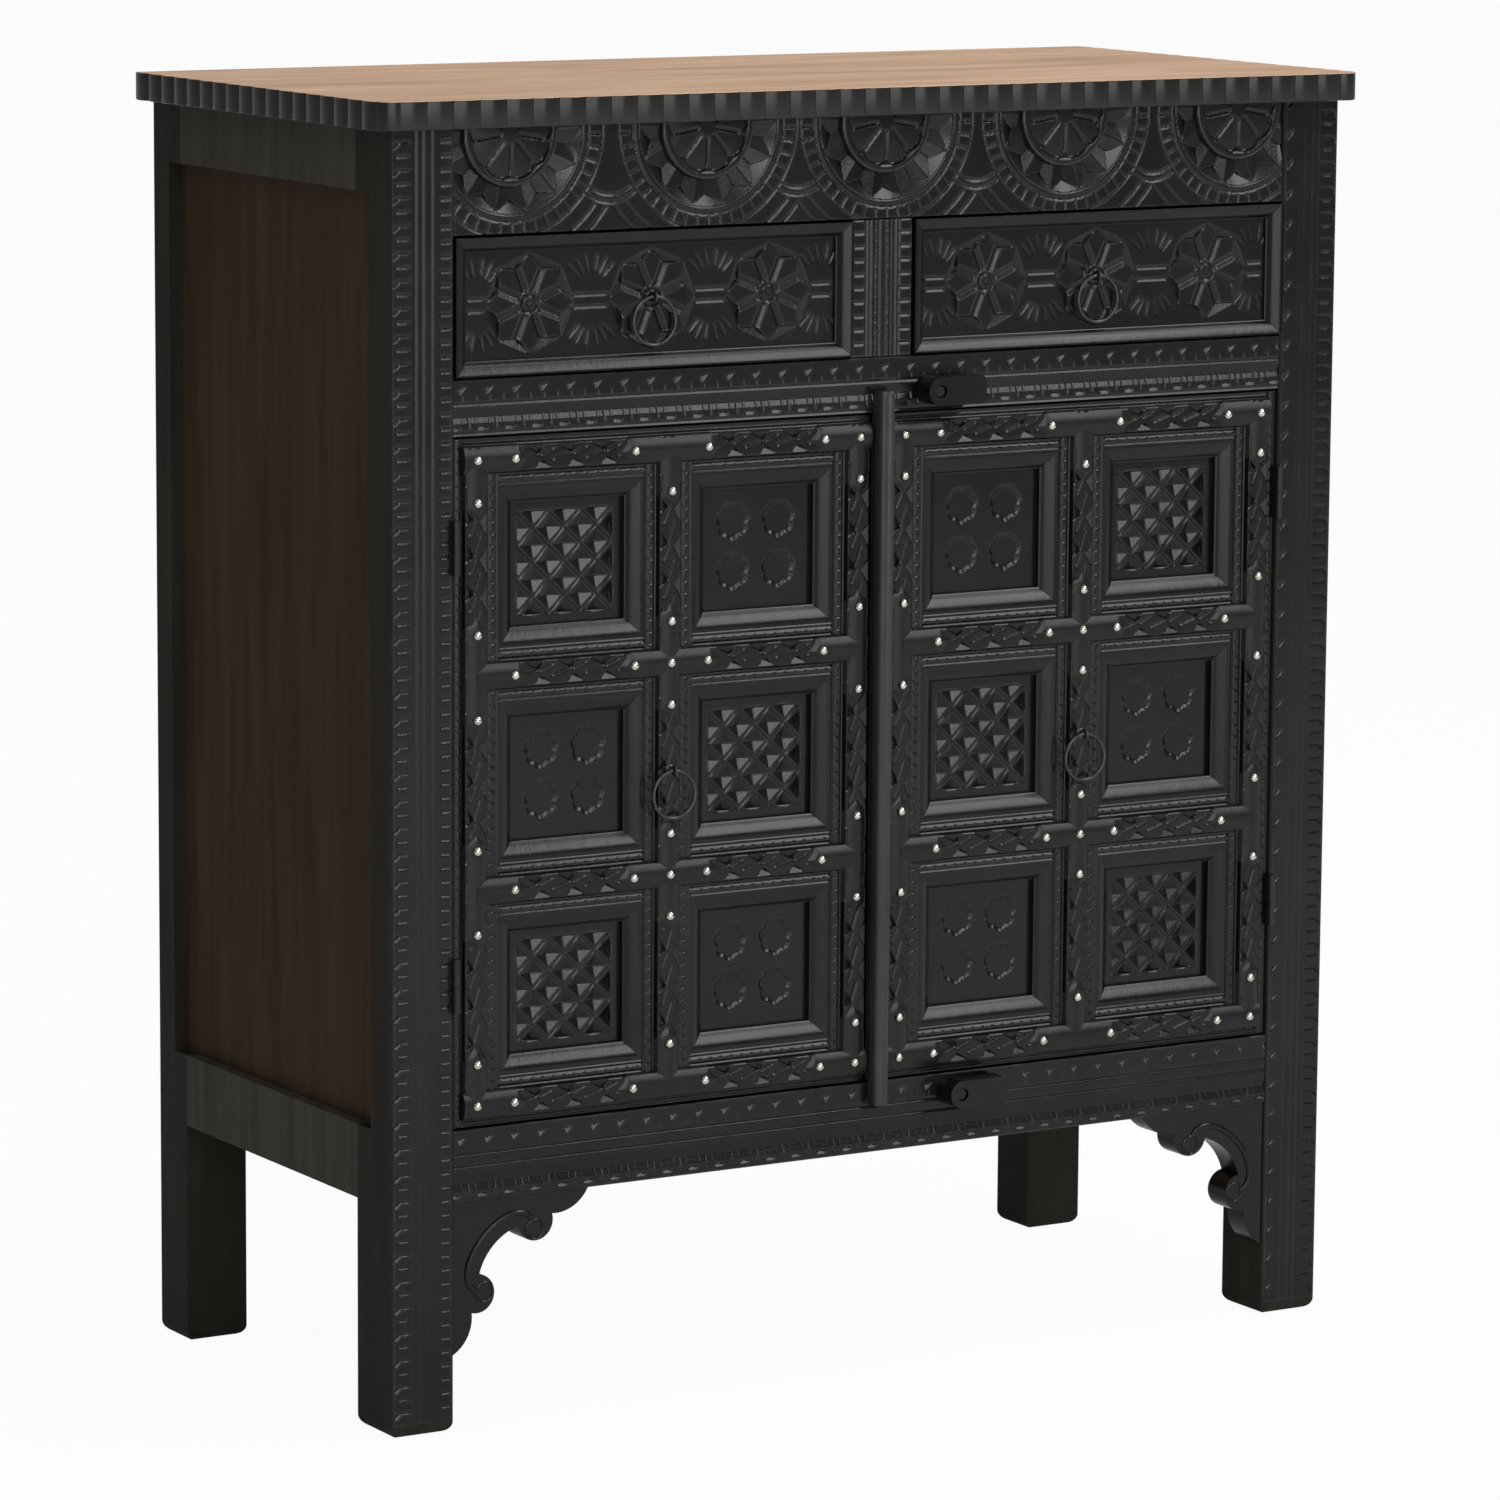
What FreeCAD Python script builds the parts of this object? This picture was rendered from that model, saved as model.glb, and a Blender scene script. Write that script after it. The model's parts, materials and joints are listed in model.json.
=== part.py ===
"""Carved cabinet: two drawers over a pair of panelled doors, on four square posts with a reeded top.

Frame: +Z up, the front faces -Y, the origin lies on the floor under the middle of the bounding box.
Depths ("d") are measured backwards from the face of the front frame, heights from the floor.
"""
import FreeCAD
import Part

import math
import os

from FreeCAD import Vector

# Overall sizes
HEIGHT = 1025.0
TOP_WIDTH = 900.0
TOP_THICKNESS = 22.0
TOP_FRONT_OVERHANG = 16.0
BODY_WIDTH = 866.0
BODY_DEPTH = 400.0
LEG_HEIGHT = 180.0

# Reeded edge of the top
REED_PITCH = 22.5
REED_DEPTH = 2.2

# Posts
POST_WIDTH = 53.0
FRONT_POST_DEPTH = 56.0
REAR_POST_DEPTH = 48.0
FOOT_ROUND = 9.0

# Front frame
FACE_THICKNESS = 24.0
FRIEZE_HEIGHT = 81.0
DRAWER_OPENING_HEIGHT = 108.0
MID_RAIL_HEIGHT = 43.5
BOTTOM_RAIL_HEIGHT = 57.0
DIVIDER_WIDTH = 55.0
TENON_THICKNESS = 9.0
TENON_LENGTH = 18.0
TENON_SHOULDER = 6.0
DIVIDER_TENON = 8.0

# Side frames and their sunk panels
SIDE_RECESS = 10.0
SIDE_PANEL_THICKNESS = 8.0
SIDE_GROOVE = 8.0
FRONT_STILE_SHOW = 34.0
REAR_STILE_SHOW = 27.0
SIDE_RAIL_THICKNESS = 26.0
SIDE_TOP_RAIL_HEIGHT = 48.0
SIDE_BOTTOM_RAIL_HEIGHT = 58.0
SIDE_TENON_SHOULDER = 12.0

# Back
BACK_THICKNESS = 8.0
BACK_LAP = 28.0
REAR_RAIL_THICKNESS = 24.0
REAR_TOP_RAIL_HEIGHT = 48.0

# Inside boards
DUST_BOARD_THICKNESS = 8.0
BOTTOM_BOARD_THICKNESS = 12.0
BOTTOM_BOARD_DROP = 2.0
BOARD_GROOVE = 8.0
SHELF_THICKNESS = 12.0
SHELF_HEIGHT = 500.0
SHELF_SETBACK = 45.0
CLEAT_HEIGHT = 16.0
CLEAT_THICKNESS = 12.0

# Scroll brackets under the bottom rail
BRACKET_REACH = 120.0
BRACKET_THICKNESS = 20.0
BRACKET_SETBACK = 6.0
BRACKET_LOBE_END_SHARES = (0.735, 0.145)
BRACKET_LOBE_MID_SHARES = (0.905, 0.105)
BRACKET_SCROLL_MID_SHARES = (0.615, 0.310)
BRACKET_CUSP_SHARES = (0.485, 0.200)
BRACKET_ARCH_MID_SHARE = 0.305

# Drawers
DRAWER_GAP = 1.5
DRAWER_PROUD = 3.0
DRAWER_FRONT_THICKNESS = 20.0
DRAWER_RIM = 3.5
DRAWER_MOULDING = 10.5
DRAWER_SUNK = 11.0
DRAWER_PANEL_LAP = 6.0
DRAWER_SIDE_THICKNESS = 11.0
DRAWER_SIDE_HEIGHT = 89.0
DRAWER_BACK_CLEARANCE = 16.0
DRAWER_BOTTOM_THICKNESS = 5.0
DRAWER_BOTTOM_RISE = 9.0
DRAWER_BOTTOM_GROOVE = 4.0
RUNNER_WIDTH = 16.0
RUNNER_HEIGHT = 9.0
RUNNER_RISE = 1.0
RUNNING_CLEARANCE = 0.3
GUIDE_HEIGHT = 24.0
GUIDE_CLEARANCE = 2.0

# Doors
DOOR_GAP = 1.5
MEETING_GAP = 2.5
MEETING_LEFT = -6.5
DOOR_SETBACK = 3.0
DOOR_FRAME_THICKNESS = 16.0
DOOR_PANEL_THICKNESS = 6.0
DOOR_PANEL_LAP = 7.0
COLUMN_INSET = 18.0
MIDDLE_COLUMN_X = 20.5
ROW_INSET = 16.5
DOOR_COLUMNS = 2
DOOR_ROWS = 3
PANEL_BORDER = 22.3
PANEL_MOULDING = 12.0
MOULDING_FACETS = 3
BATTEN_WIDTH = 20.0
BATTEN_HEIGHT = 6.0
BATTEN_CROWN_SHARE = 0.45

# Iron straps and studs on the doors
STRAP_THICKNESS = 1.0
STRAP_ARM = 43.0
STRAP_POINT = 7.0
STUD_REACH = 32.5
STUD_RADIUS = 4.5
STUD_HEIGHT = 3.5
STUD_TOP_RADIUS = 2.4
STUD_SIDES = 5

# Meeting strip on the right door
STRIP_WIDTH = 13.6
STRIP_PROUD = 12.0
STRIP_OVERRUN = 19.0
STRIP_CLEARANCE = 0.5
STRIP_ROUND = 2.5

# Butt hinges
HINGE_HEIGHT = 42.0
HINGE_TOP_DROP = 82.0
HINGE_BOTTOM_RISE = 112.0
KNUCKLE_RADIUS = 3.2
KNUCKLE_SIDES = 8
KNUCKLE_PROUD = 4.2
KNUCKLE_GAP = 0.3
PIN_RADIUS = 1.55
PIN_CLEARANCE = 0.05
LEAF_DEPTH = 20.0
LEAF_THICKNESS = 1.6
LEAF_SUNK = 1.0
LEAF_FRONT = 0.5

# Ring pulls
RING_OUTER_RADIUS = 20.0
RING_WIRE_RADIUS = 1.6
RING_CLEARANCE = 0.35
EYE_WIRE_RADIUS = 1.3
EYE_STANDOFF = 1.6
EYE_STEM_WIDTH = 2.0
WIRE_SIDES = 6
RING_SIDES = 16
EYE_SIDES = 8
DOOR_RING_COLUMN = 1
DOOR_RING_ROW = 1
DOOR_RING_ROW_SHARE = 0.4955
DRAWER_RING_EYE_RISE = 1.5

# Turning catches
CATCH_WIDTH = 22.0
CATCH_LENGTH = 42.0
CATCH_THICKNESS = 17.3
CATCH_RELIEF = 4.7
CATCH_BOSS = 9.0
CATCH_CLEARANCE = 0.3
CATCH_END_BEVEL = 3.0
CATCH_COUNTERBORE_RADIUS = 5.2
CATCH_COUNTERBORE_DEPTH = 6.0
TOP_CATCH_X = 42.0
TOP_CATCH_RISE = 16.5
BOTTOM_CATCH_X = 70.0
BOTTOM_CATCH_DROP = 14.0
SCREW_RADIUS = 2.5
SCREW_CLEARANCE = 0.05
SCREW_HEAD_RADIUS = 4.6
SCREW_HEAD_HEIGHT = 4.0
SCREW_HEAD_SIDES = 6
SCREW_BITE = 15.0

# How far a cutting solid runs past what it cuts
OVERRUN = 5.0

# Derived places
CATCH_REACH = CATCH_RELIEF + CATCH_THICKNESS
FACE_Y = (CATCH_REACH - BODY_DEPTH) / 2
HALF_BODY = BODY_WIDTH / 2
HALF_OPENING = HALF_BODY - POST_WIDTH
CARCASS_TOP = HEIGHT - TOP_THICKNESS
DRAWER_TOP = CARCASS_TOP - FRIEZE_HEIGHT
DRAWER_FLOOR = DRAWER_TOP - DRAWER_OPENING_HEIGHT
DOOR_HEAD = DRAWER_FLOOR - MID_RAIL_HEIGHT
DOOR_SILL = LEG_HEIGHT + BOTTOM_RAIL_HEIGHT
DOOR_LOW = DOOR_SILL + DOOR_GAP
DOOR_HIGH = DOOR_HEAD - DOOR_GAP
SIDE_LOW = LEG_HEIGHT + SIDE_BOTTOM_RAIL_HEIGHT
SIDE_HIGH = CARCASS_TOP - SIDE_TOP_RAIL_HEIGHT
REAR_POST_FRONT = BODY_DEPTH - REAR_POST_DEPTH
BACK_FRONT = BODY_DEPTH - BACK_THICKNESS
REAR_RAIL_FRONT = BACK_FRONT - REAR_RAIL_THICKNESS
PANEL_INNER_X = HALF_BODY - SIDE_RECESS - SIDE_PANEL_THICKNESS
RUNNER_TOP = DRAWER_FLOOR + RUNNER_RISE
DUST_TOP = RUNNER_TOP - RUNNER_HEIGHT
DUST_LOW = DUST_TOP - DUST_BOARD_THICKNESS
ROW_PITCH = (DOOR_HIGH - DOOR_LOW - 2 * ROW_INSET) / DOOR_ROWS
DOOR_OUTER = HALF_OPENING - DOOR_GAP
COLUMN_PITCH = (DOOR_OUTER - COLUMN_INSET - MIDDLE_COLUMN_X) / DOOR_COLUMNS
HINGE_X = HALF_OPENING - DOOR_GAP / 2
EYE_RADIUS = RING_WIRE_RADIUS + RING_CLEARANCE + EYE_WIRE_RADIUS


def box(x0, x1, d0, d1, z0, z1):
    """A box between two widths, two depths behind the face and two heights."""
    return Part.makeBox(x1 - x0, d1 - d0, z1 - z0, Vector(x0, FACE_Y + d0, z0))


def cylinder_y(x, z, d0, d1, radius):
    """A round bar that runs backwards from depth d0 to depth d1."""
    return Part.makeCylinder(radius, d1 - d0, Vector(x, FACE_Y + d0, z), Vector(0, 1, 0))


def mirrored(shape):
    """The same piece on the other side of the middle plane."""
    return shape.mirror(Vector(0, 0, 0), Vector(1, 0, 0))


def fuse(shapes):
    """One solid out of several that touch or overlap."""
    first, *rest = shapes
    return first.multiFuse(rest).removeSplitter() if rest else first


def rectangle_corners(x0, x1, z0, z1, d):
    """The corners of a rectangle in the plane at depth d."""
    y = FACE_Y + d
    return [Vector(x0, y, z0), Vector(x1, y, z0), Vector(x1, y, z1), Vector(x0, y, z1)]


def regular_corners(x, z, d, radius, sides):
    """The corners of an equal-sided figure in the plane at depth d."""
    turns = [2 * math.pi * i / sides for i in range(sides)]
    return [Vector(x + radius * math.cos(t), FACE_Y + d, z + radius * math.sin(t)) for t in turns]


def flat_face(corners):
    """A flat face with straight edges."""
    return Part.Face(Part.makePolygon(corners + corners[:1]))


def skin(sections):
    """Flat faces between neighbouring sections that have the same number of corners."""
    faces = []
    for a, b in zip(sections, sections[1:]):
        for k in range(len(a)):
            faces.append(flat_face([a[k - 1], b[k - 1], b[k], a[k]]))
    return faces


def closed_solid(faces):
    """The solid inside a closed set of faces."""
    solid = Part.Solid(Part.Shell(faces))
    return solid if solid.Volume > 0 else solid.reversed()


def wire_ring(centre, across, up, radius, wire_radius, sides):
    """A ring of bent wire: six-sided wire mitred round a many-sided circle in the plane of across and up."""
    normal = across.cross(up)
    stretch = 1 / math.cos(math.pi / sides)
    sections = []
    for i in range(sides):
        turn = 2 * math.pi * (i + 1 / 2) / sides
        outward = across * math.cos(turn) + up * math.sin(turn)
        section = []
        for k in range(WIRE_SIDES):
            roll = 2 * math.pi * k / WIRE_SIDES
            reach = (radius + wire_radius * math.cos(roll)) * stretch
            section.append(centre + outward * reach + normal * (wire_radius * math.sin(roll)))
        sections.append(section)
    return closed_solid(skin(sections + sections[:1]))


def moulded_pocket(x0, x1, z0, z1, d_front, width, depth):
    """A pocket whose walls are a round moulding: a quarter ellipse from the rim down to the floor."""
    sections = [rectangle_corners(x0, x1, z0, z1, d_front - OVERRUN)]
    for i in range(MOULDING_FACETS + 1):
        turn = math.pi / 2 * i / MOULDING_FACETS
        inset = width * math.sin(turn)
        sunk = depth * (1 - math.cos(turn))
        sections.append(rectangle_corners(x0 + inset, x1 - inset, z0 + inset, z1 - inset, d_front + sunk))
    return closed_solid(skin(sections) + [flat_face(sections[0]), flat_face(sections[-1])])


# Top

def reeded_edge(start, end, outward):
    """Arcs that bulge outward along one edge, one for each reed."""
    count = max(1, round((end - start).Length / REED_PITCH))
    step = (end - start) / count
    edges = []
    for i in range(count):
        a = start + step * i
        b = start + step * (i + 1)
        crest = (a + b) / 2 + outward * REED_DEPTH
        edges.append(Part.Arc(a, crest, b).toShape())
    return edges


def top_board():
    """The top plank, reeded along its front and both ends."""
    valley_x = TOP_WIDTH / 2 - REED_DEPTH
    front = FACE_Y - TOP_FRONT_OVERHANG + REED_DEPTH
    rear = FACE_Y + BODY_DEPTH
    corners = [Vector(x, y, CARCASS_TOP) for x, y in
               ((-valley_x, rear), (-valley_x, front), (valley_x, front), (valley_x, rear))]
    outward = (Vector(-1, 0, 0), Vector(0, -1, 0), Vector(1, 0, 0))
    edges = []
    for a, b, out in zip(corners, corners[1:], outward):
        edges += reeded_edge(a, b, out)
    edges.append(Part.makeLine(corners[-1], corners[0]))
    return Part.Face(Part.Wire(edges)).extrude(Vector(0, 0, TOP_THICKNESS))


# Front frame and posts

FRONT_RAILS = {
    "frieze_board": (DRAWER_TOP, CARCASS_TOP),
    "mid_rail": (DOOR_HEAD, DRAWER_FLOOR),
    "bottom_rail": (LEG_HEIGHT, DOOR_SILL),
}
REAR_RAIL_HEIGHTS = (
    (CARCASS_TOP - REAR_TOP_RAIL_HEIGHT, CARCASS_TOP),
    (DOOR_HEAD, DUST_LOW),
    (LEG_HEIGHT, DOOR_SILL),
)
SIDE_RAIL_HEIGHTS = ((SIDE_HIGH, CARCASS_TOP), (LEG_HEIGHT, SIDE_LOW))


def cross_tenons(d0, thickness, z0, z1):
    """The tenons at both ends of a rail that runs from left to right."""
    d = d0 + (thickness - TENON_THICKNESS) / 2
    low, high = z0 + TENON_SHOULDER, z1 - TENON_SHOULDER
    right = box(HALF_OPENING, HALF_OPENING + TENON_LENGTH, d, d + TENON_THICKNESS, low, high)
    return [mirrored(right), right]


def cross_rail(d0, thickness, z0, z1):
    """A rail between the posts, with its tenons."""
    body = box(-HALF_OPENING, HALF_OPENING, d0, d0 + thickness, z0, z1)
    return fuse([body] + cross_tenons(d0, thickness, z0, z1))


def side_tenons(z0, z1):
    """The tenons of one right-hand side rail, in the front and the rear post."""
    x = HALF_BODY - (SIDE_RAIL_THICKNESS + TENON_THICKNESS) / 2
    low, high = z0 + SIDE_TENON_SHOULDER, z1 - SIDE_TENON_SHOULDER
    front = box(x, x + TENON_THICKNESS, FRONT_POST_DEPTH - TENON_LENGTH, FRONT_POST_DEPTH, low, high)
    rear = box(x, x + TENON_THICKNESS, REAR_POST_FRONT, REAR_POST_FRONT + TENON_LENGTH, low, high)
    return [front, rear]


def side_panel():
    """The sunk panel of the right-hand side, held in grooves all round."""
    return box(PANEL_INNER_X, HALF_BODY - SIDE_RECESS,
               FRONT_STILE_SHOW - SIDE_GROOVE, BODY_DEPTH - REAR_STILE_SHOW + SIDE_GROOVE,
               SIDE_LOW - SIDE_GROOVE, SIDE_HIGH + SIDE_GROOVE)


def side_rail(z0, z1):
    """One right-hand side rail, grooved for the panel."""
    body = box(HALF_BODY - SIDE_RAIL_THICKNESS, HALF_BODY, FRONT_POST_DEPTH, REAR_POST_FRONT, z0, z1)
    return fuse([body] + side_tenons(z0, z1)).cut(side_panel())


def panel_pocket(d0, d1):
    """The open recess in a right-hand post where the side panel shows past the stile."""
    return box(PANEL_INNER_X, HALF_BODY + OVERRUN, d0, d1, SIDE_LOW, SIDE_HIGH)


def rounded_post(d0, d1):
    """A square right-hand post with a rounded foot."""
    post = box(HALF_OPENING, HALF_BODY, d0, d1, 0, CARCASS_TOP)
    foot = [e for e in post.Edges if e.BoundBox.ZMax < FOOT_ROUND]
    return post.makeFillet(FOOT_ROUND, foot)


def hinge_heights():
    """The middle height of each hinge of a door."""
    return DOOR_LOW + HINGE_BOTTOM_RISE, DOOR_HIGH - HINGE_TOP_DROP


def leaf_box(sign, z):
    """The flat of a right-hand hinge leaf: sign +1 is let into the post, -1 into the door."""
    near = HINGE_X + sign * (DOOR_GAP / 2 + LEAF_SUNK)
    far = near - sign * LEAF_THICKNESS
    return box(min(near, far), max(near, far), -LEAF_FRONT, LEAF_DEPTH,
               z - HINGE_HEIGHT / 2, z + HINGE_HEIGHT / 2)


def front_post():
    """The right-hand front post with its mortises, panel recess and hinge gains."""
    cuts = [tenon for low, high in FRONT_RAILS.values()
            for tenon in cross_tenons(0, FACE_THICKNESS, low, high)[1:]]
    cuts += [side_tenons(*rail)[0] for rail in SIDE_RAIL_HEIGHTS]
    cuts += [panel_pocket(FRONT_STILE_SHOW, FRONT_POST_DEPTH), side_panel()]
    cuts += [leaf_box(1, z) for z in hinge_heights()]
    return rounded_post(0, FRONT_POST_DEPTH).cut(cuts)


def rear_post():
    """The right-hand rear post with its mortises, panel recess and the rebate for the back."""
    cuts = [tenon for low, high in REAR_RAIL_HEIGHTS
            for tenon in cross_tenons(REAR_RAIL_FRONT, REAR_RAIL_THICKNESS, low, high)[1:]]
    cuts += [side_tenons(*rail)[1] for rail in SIDE_RAIL_HEIGHTS]
    cuts += [panel_pocket(REAR_POST_FRONT, BODY_DEPTH - REAR_STILE_SHOW), side_panel(), back_panel()]
    return rounded_post(REAR_POST_FRONT, BODY_DEPTH).cut(cuts)


def back_panel():
    """The back, nailed over the rear rails and let into the rear posts."""
    half = HALF_OPENING + BACK_LAP
    return box(-half, half, BACK_FRONT, BODY_DEPTH, LEG_HEIGHT, CARCASS_TOP)


def divider():
    """The upright between the drawers, tenoned into the frieze and the middle rail."""
    half = DIVIDER_WIDTH / 2
    body = box(-half, half, 0, FACE_THICKNESS, DRAWER_FLOOR, DRAWER_TOP)
    d = (FACE_THICKNESS - TENON_THICKNESS) / 2
    inner = half - TENON_SHOULDER
    tenon = box(-inner, inner, d, d + TENON_THICKNESS,
                DRAWER_FLOOR - DIVIDER_TENON, DRAWER_TOP + DIVIDER_TENON)
    return fuse([body, tenon])


def dust_board():
    """The board under the drawers, grooved into the middle rail and carried by the rear rail."""
    return inside_board(PANEL_INNER_X, FACE_THICKNESS - BOARD_GROOVE, BACK_FRONT, DUST_LOW, DUST_TOP)


def bottom_board():
    """The floor of the cupboard, grooved into the front and the rear bottom rail."""
    top = DOOR_SILL - BOTTOM_BOARD_DROP
    return inside_board(HALF_BODY - SIDE_RAIL_THICKNESS, FACE_THICKNESS - BOARD_GROOVE,
                        REAR_RAIL_FRONT + BOARD_GROOVE, top - BOTTOM_BOARD_THICKNESS, top)


def inside_board(half, d0, d1, z0, z1):
    """A level board that fills the inside and is notched round the posts."""
    middle = box(-HALF_OPENING, HALF_OPENING, d0, d1, z0, z1)
    wings = box(-half, half, FRONT_POST_DEPTH, REAR_POST_FRONT, z0, z1)
    return fuse([middle, wings])


def shelf():
    """The loose shelf inside the cupboard."""
    return inside_board(PANEL_INNER_X, SHELF_SETBACK, BACK_FRONT,
                        SHELF_HEIGHT, SHELF_HEIGHT + SHELF_THICKNESS)


def shelf_cleats():
    """The two battens on the side panels that carry the shelf."""
    right = box(PANEL_INNER_X - CLEAT_THICKNESS, PANEL_INNER_X, FRONT_POST_DEPTH, REAR_POST_FRONT,
                SHELF_HEIGHT - CLEAT_HEIGHT, SHELF_HEIGHT)
    return Part.makeCompound([mirrored(right), right])


def bracket():
    """The right-hand scroll bracket, alike about its diagonal, between the post and the bottom rail."""
    def at(shares):
        across, down = shares
        return Vector(HALF_OPENING - across * BRACKET_REACH, FACE_Y + BRACKET_SETBACK,
                      LEG_HEIGHT - down * BRACKET_REACH)

    def flipped(shares):
        return at(shares[::-1])

    tip, root, corner = (1, 0), (0, 1), (0, 0)
    arch = (BRACKET_ARCH_MID_SHARE, BRACKET_ARCH_MID_SHARE)
    arcs = [
        (at(tip), at(BRACKET_LOBE_MID_SHARES), at(BRACKET_LOBE_END_SHARES)),
        (at(BRACKET_LOBE_END_SHARES), at(BRACKET_SCROLL_MID_SHARES), at(BRACKET_CUSP_SHARES)),
        (at(BRACKET_CUSP_SHARES), at(arch), flipped(BRACKET_CUSP_SHARES)),
        (flipped(BRACKET_CUSP_SHARES), flipped(BRACKET_SCROLL_MID_SHARES), flipped(BRACKET_LOBE_END_SHARES)),
        (flipped(BRACKET_LOBE_END_SHARES), flipped(BRACKET_LOBE_MID_SHARES), at(root)),
    ]
    edges = [Part.makeLine(at(corner), at(tip))]
    edges += [Part.Arc(*points).toShape() for points in arcs]
    edges.append(Part.makeLine(at(root), at(corner)))
    return Part.Face(Part.Wire(edges)).extrude(Vector(0, BRACKET_THICKNESS, 0))


# Drawers

DRAWER_LEFT = DIVIDER_WIDTH / 2 + DRAWER_GAP
DRAWER_RIGHT = HALF_OPENING - DRAWER_GAP
DRAWER_LOW = DRAWER_FLOOR + DRAWER_GAP
DRAWER_HIGH = DRAWER_TOP - DRAWER_GAP
DRAWER_FRONT_BACK = DRAWER_FRONT_THICKNESS - DRAWER_PROUD
DRAWER_PANEL_FRONT = DRAWER_SUNK - DRAWER_PROUD
DRAWER_BOX_LOW = RUNNER_TOP + RUNNING_CLEARANCE
DRAWER_RING_X = (DRAWER_LEFT + DRAWER_RIGHT) / 2
DRAWER_RING_Z = (DRAWER_LOW + DRAWER_HIGH) / 2 + DRAWER_RING_EYE_RISE
DRAWER_BOX_BACK = REAR_RAIL_FRONT - DRAWER_BACK_CLEARANCE


def drawer_panel():
    """The sunk panel of the right-hand drawer front, rebated in from behind."""
    edge = DRAWER_RIM + DRAWER_MOULDING - DRAWER_PANEL_LAP
    return box(DRAWER_LEFT + edge, DRAWER_RIGHT - edge, DRAWER_PANEL_FRONT, DRAWER_FRONT_BACK,
               DRAWER_LOW + edge, DRAWER_HIGH - edge)


def drawer_front():
    """The moulded frame of the right-hand drawer front."""
    body = box(DRAWER_LEFT, DRAWER_RIGHT, -DRAWER_PROUD, DRAWER_FRONT_BACK, DRAWER_LOW, DRAWER_HIGH)
    pocket = moulded_pocket(DRAWER_LEFT + DRAWER_RIM, DRAWER_RIGHT - DRAWER_RIM,
                            DRAWER_LOW + DRAWER_RIM, DRAWER_HIGH - DRAWER_RIM,
                            -DRAWER_PROUD, DRAWER_MOULDING, DRAWER_SUNK)
    return body.cut([pocket, drawer_panel()])


def drawer_bottom():
    """The thin bottom of the right-hand drawer, slid into grooves in its sides."""
    side = DRAWER_SIDE_THICKNESS - DRAWER_BOTTOM_GROOVE
    low = DRAWER_BOX_LOW + DRAWER_BOTTOM_RISE
    return box(DRAWER_LEFT + side, DRAWER_RIGHT - side, DRAWER_FRONT_BACK, DRAWER_BOX_BACK,
               low, low + DRAWER_BOTTOM_THICKNESS)


def drawer_sides():
    """Both sides of the right-hand drawer."""
    high = DRAWER_BOX_LOW + DRAWER_SIDE_HEIGHT
    inner = box(DRAWER_LEFT, DRAWER_LEFT + DRAWER_SIDE_THICKNESS, DRAWER_FRONT_BACK, DRAWER_BOX_BACK,
                DRAWER_BOX_LOW, high)
    outer = box(DRAWER_RIGHT - DRAWER_SIDE_THICKNESS, DRAWER_RIGHT, DRAWER_FRONT_BACK, DRAWER_BOX_BACK,
                DRAWER_BOX_LOW, high)
    bottom = drawer_bottom()
    return Part.makeCompound([inner.cut(bottom), outer.cut(bottom)])


def drawer_back():
    """The back of the right-hand drawer, between its sides and on its bottom."""
    low = DRAWER_BOX_LOW + DRAWER_BOTTOM_RISE + DRAWER_BOTTOM_THICKNESS
    return box(DRAWER_LEFT + DRAWER_SIDE_THICKNESS, DRAWER_RIGHT - DRAWER_SIDE_THICKNESS,
               DRAWER_BOX_BACK - DRAWER_SIDE_THICKNESS, DRAWER_BOX_BACK,
               low, DRAWER_BOX_LOW + DRAWER_SIDE_HEIGHT)


def drawer_runners():
    """The strips on the dust board that the drawer sides run on."""
    strips = []
    for x in (DRAWER_LEFT, DRAWER_RIGHT - RUNNER_WIDTH):
        strip = box(x, x + RUNNER_WIDTH, FACE_THICKNESS, REAR_RAIL_FRONT, DUST_TOP, RUNNER_TOP)
        strips += [strip, mirrored(strip)]
    return strips


def drawer_guide():
    """The strip between the drawers that keeps them straight."""
    half = DIVIDER_WIDTH / 2 - GUIDE_CLEARANCE
    return box(-half, half, FACE_THICKNESS, REAR_RAIL_FRONT, DUST_TOP, DUST_TOP + GUIDE_HEIGHT)


# Ring pulls

def eye_depth(d_seat):
    """Depth of the middle of an eye that stands on a surface at depth d_seat."""
    return d_seat - EYE_STANDOFF - EYE_RADIUS - EYE_WIRE_RADIUS


def ring_eye(x, z, d_seat):
    """A wire eye on its stem: the ring passes through it from left to right."""
    d = eye_depth(d_seat)
    loop = wire_ring(Vector(x, FACE_Y + d, z), Vector(0, 1, 0), Vector(0, 0, 1),
                     EYE_RADIUS, EYE_WIRE_RADIUS, EYE_SIDES)
    half = EYE_STEM_WIDTH / 2
    stem = box(x - half, x + half, d + EYE_RADIUS, d_seat, z - half, z + half)
    return fuse([loop, stem])


def ring(x, z, d_seat):
    """A ring that hangs in its eye."""
    middle = RING_OUTER_RADIUS - RING_WIRE_RADIUS
    centre = Vector(x, FACE_Y + eye_depth(d_seat), z - middle)
    return wire_ring(centre, Vector(1, 0, 0), Vector(0, 0, 1), middle, RING_WIRE_RADIUS, RING_SIDES)


# Doors

DOOR_FRAME_BACK = DOOR_SETBACK + DOOR_FRAME_THICKNESS
BATTEN_CROWN = DOOR_SETBACK - BATTEN_HEIGHT


def column_x(i):
    """Middle of the i-th upright batten of the right-hand door, counted from the hinge."""
    return DOOR_OUTER - COLUMN_INSET - i * COLUMN_PITCH


def row_z(j):
    """Middle of the j-th level batten, counted from the bottom."""
    return DOOR_LOW + ROW_INSET + j * ROW_PITCH


def panel_cells():
    """The rim of each panel opening: left, right, low, high."""
    for i in range(DOOR_COLUMNS):
        for j in range(DOOR_ROWS):
            yield (column_x(i + 1) + PANEL_BORDER, column_x(i) - PANEL_BORDER,
                   row_z(j) + PANEL_BORDER, row_z(j + 1) - PANEL_BORDER)


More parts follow.
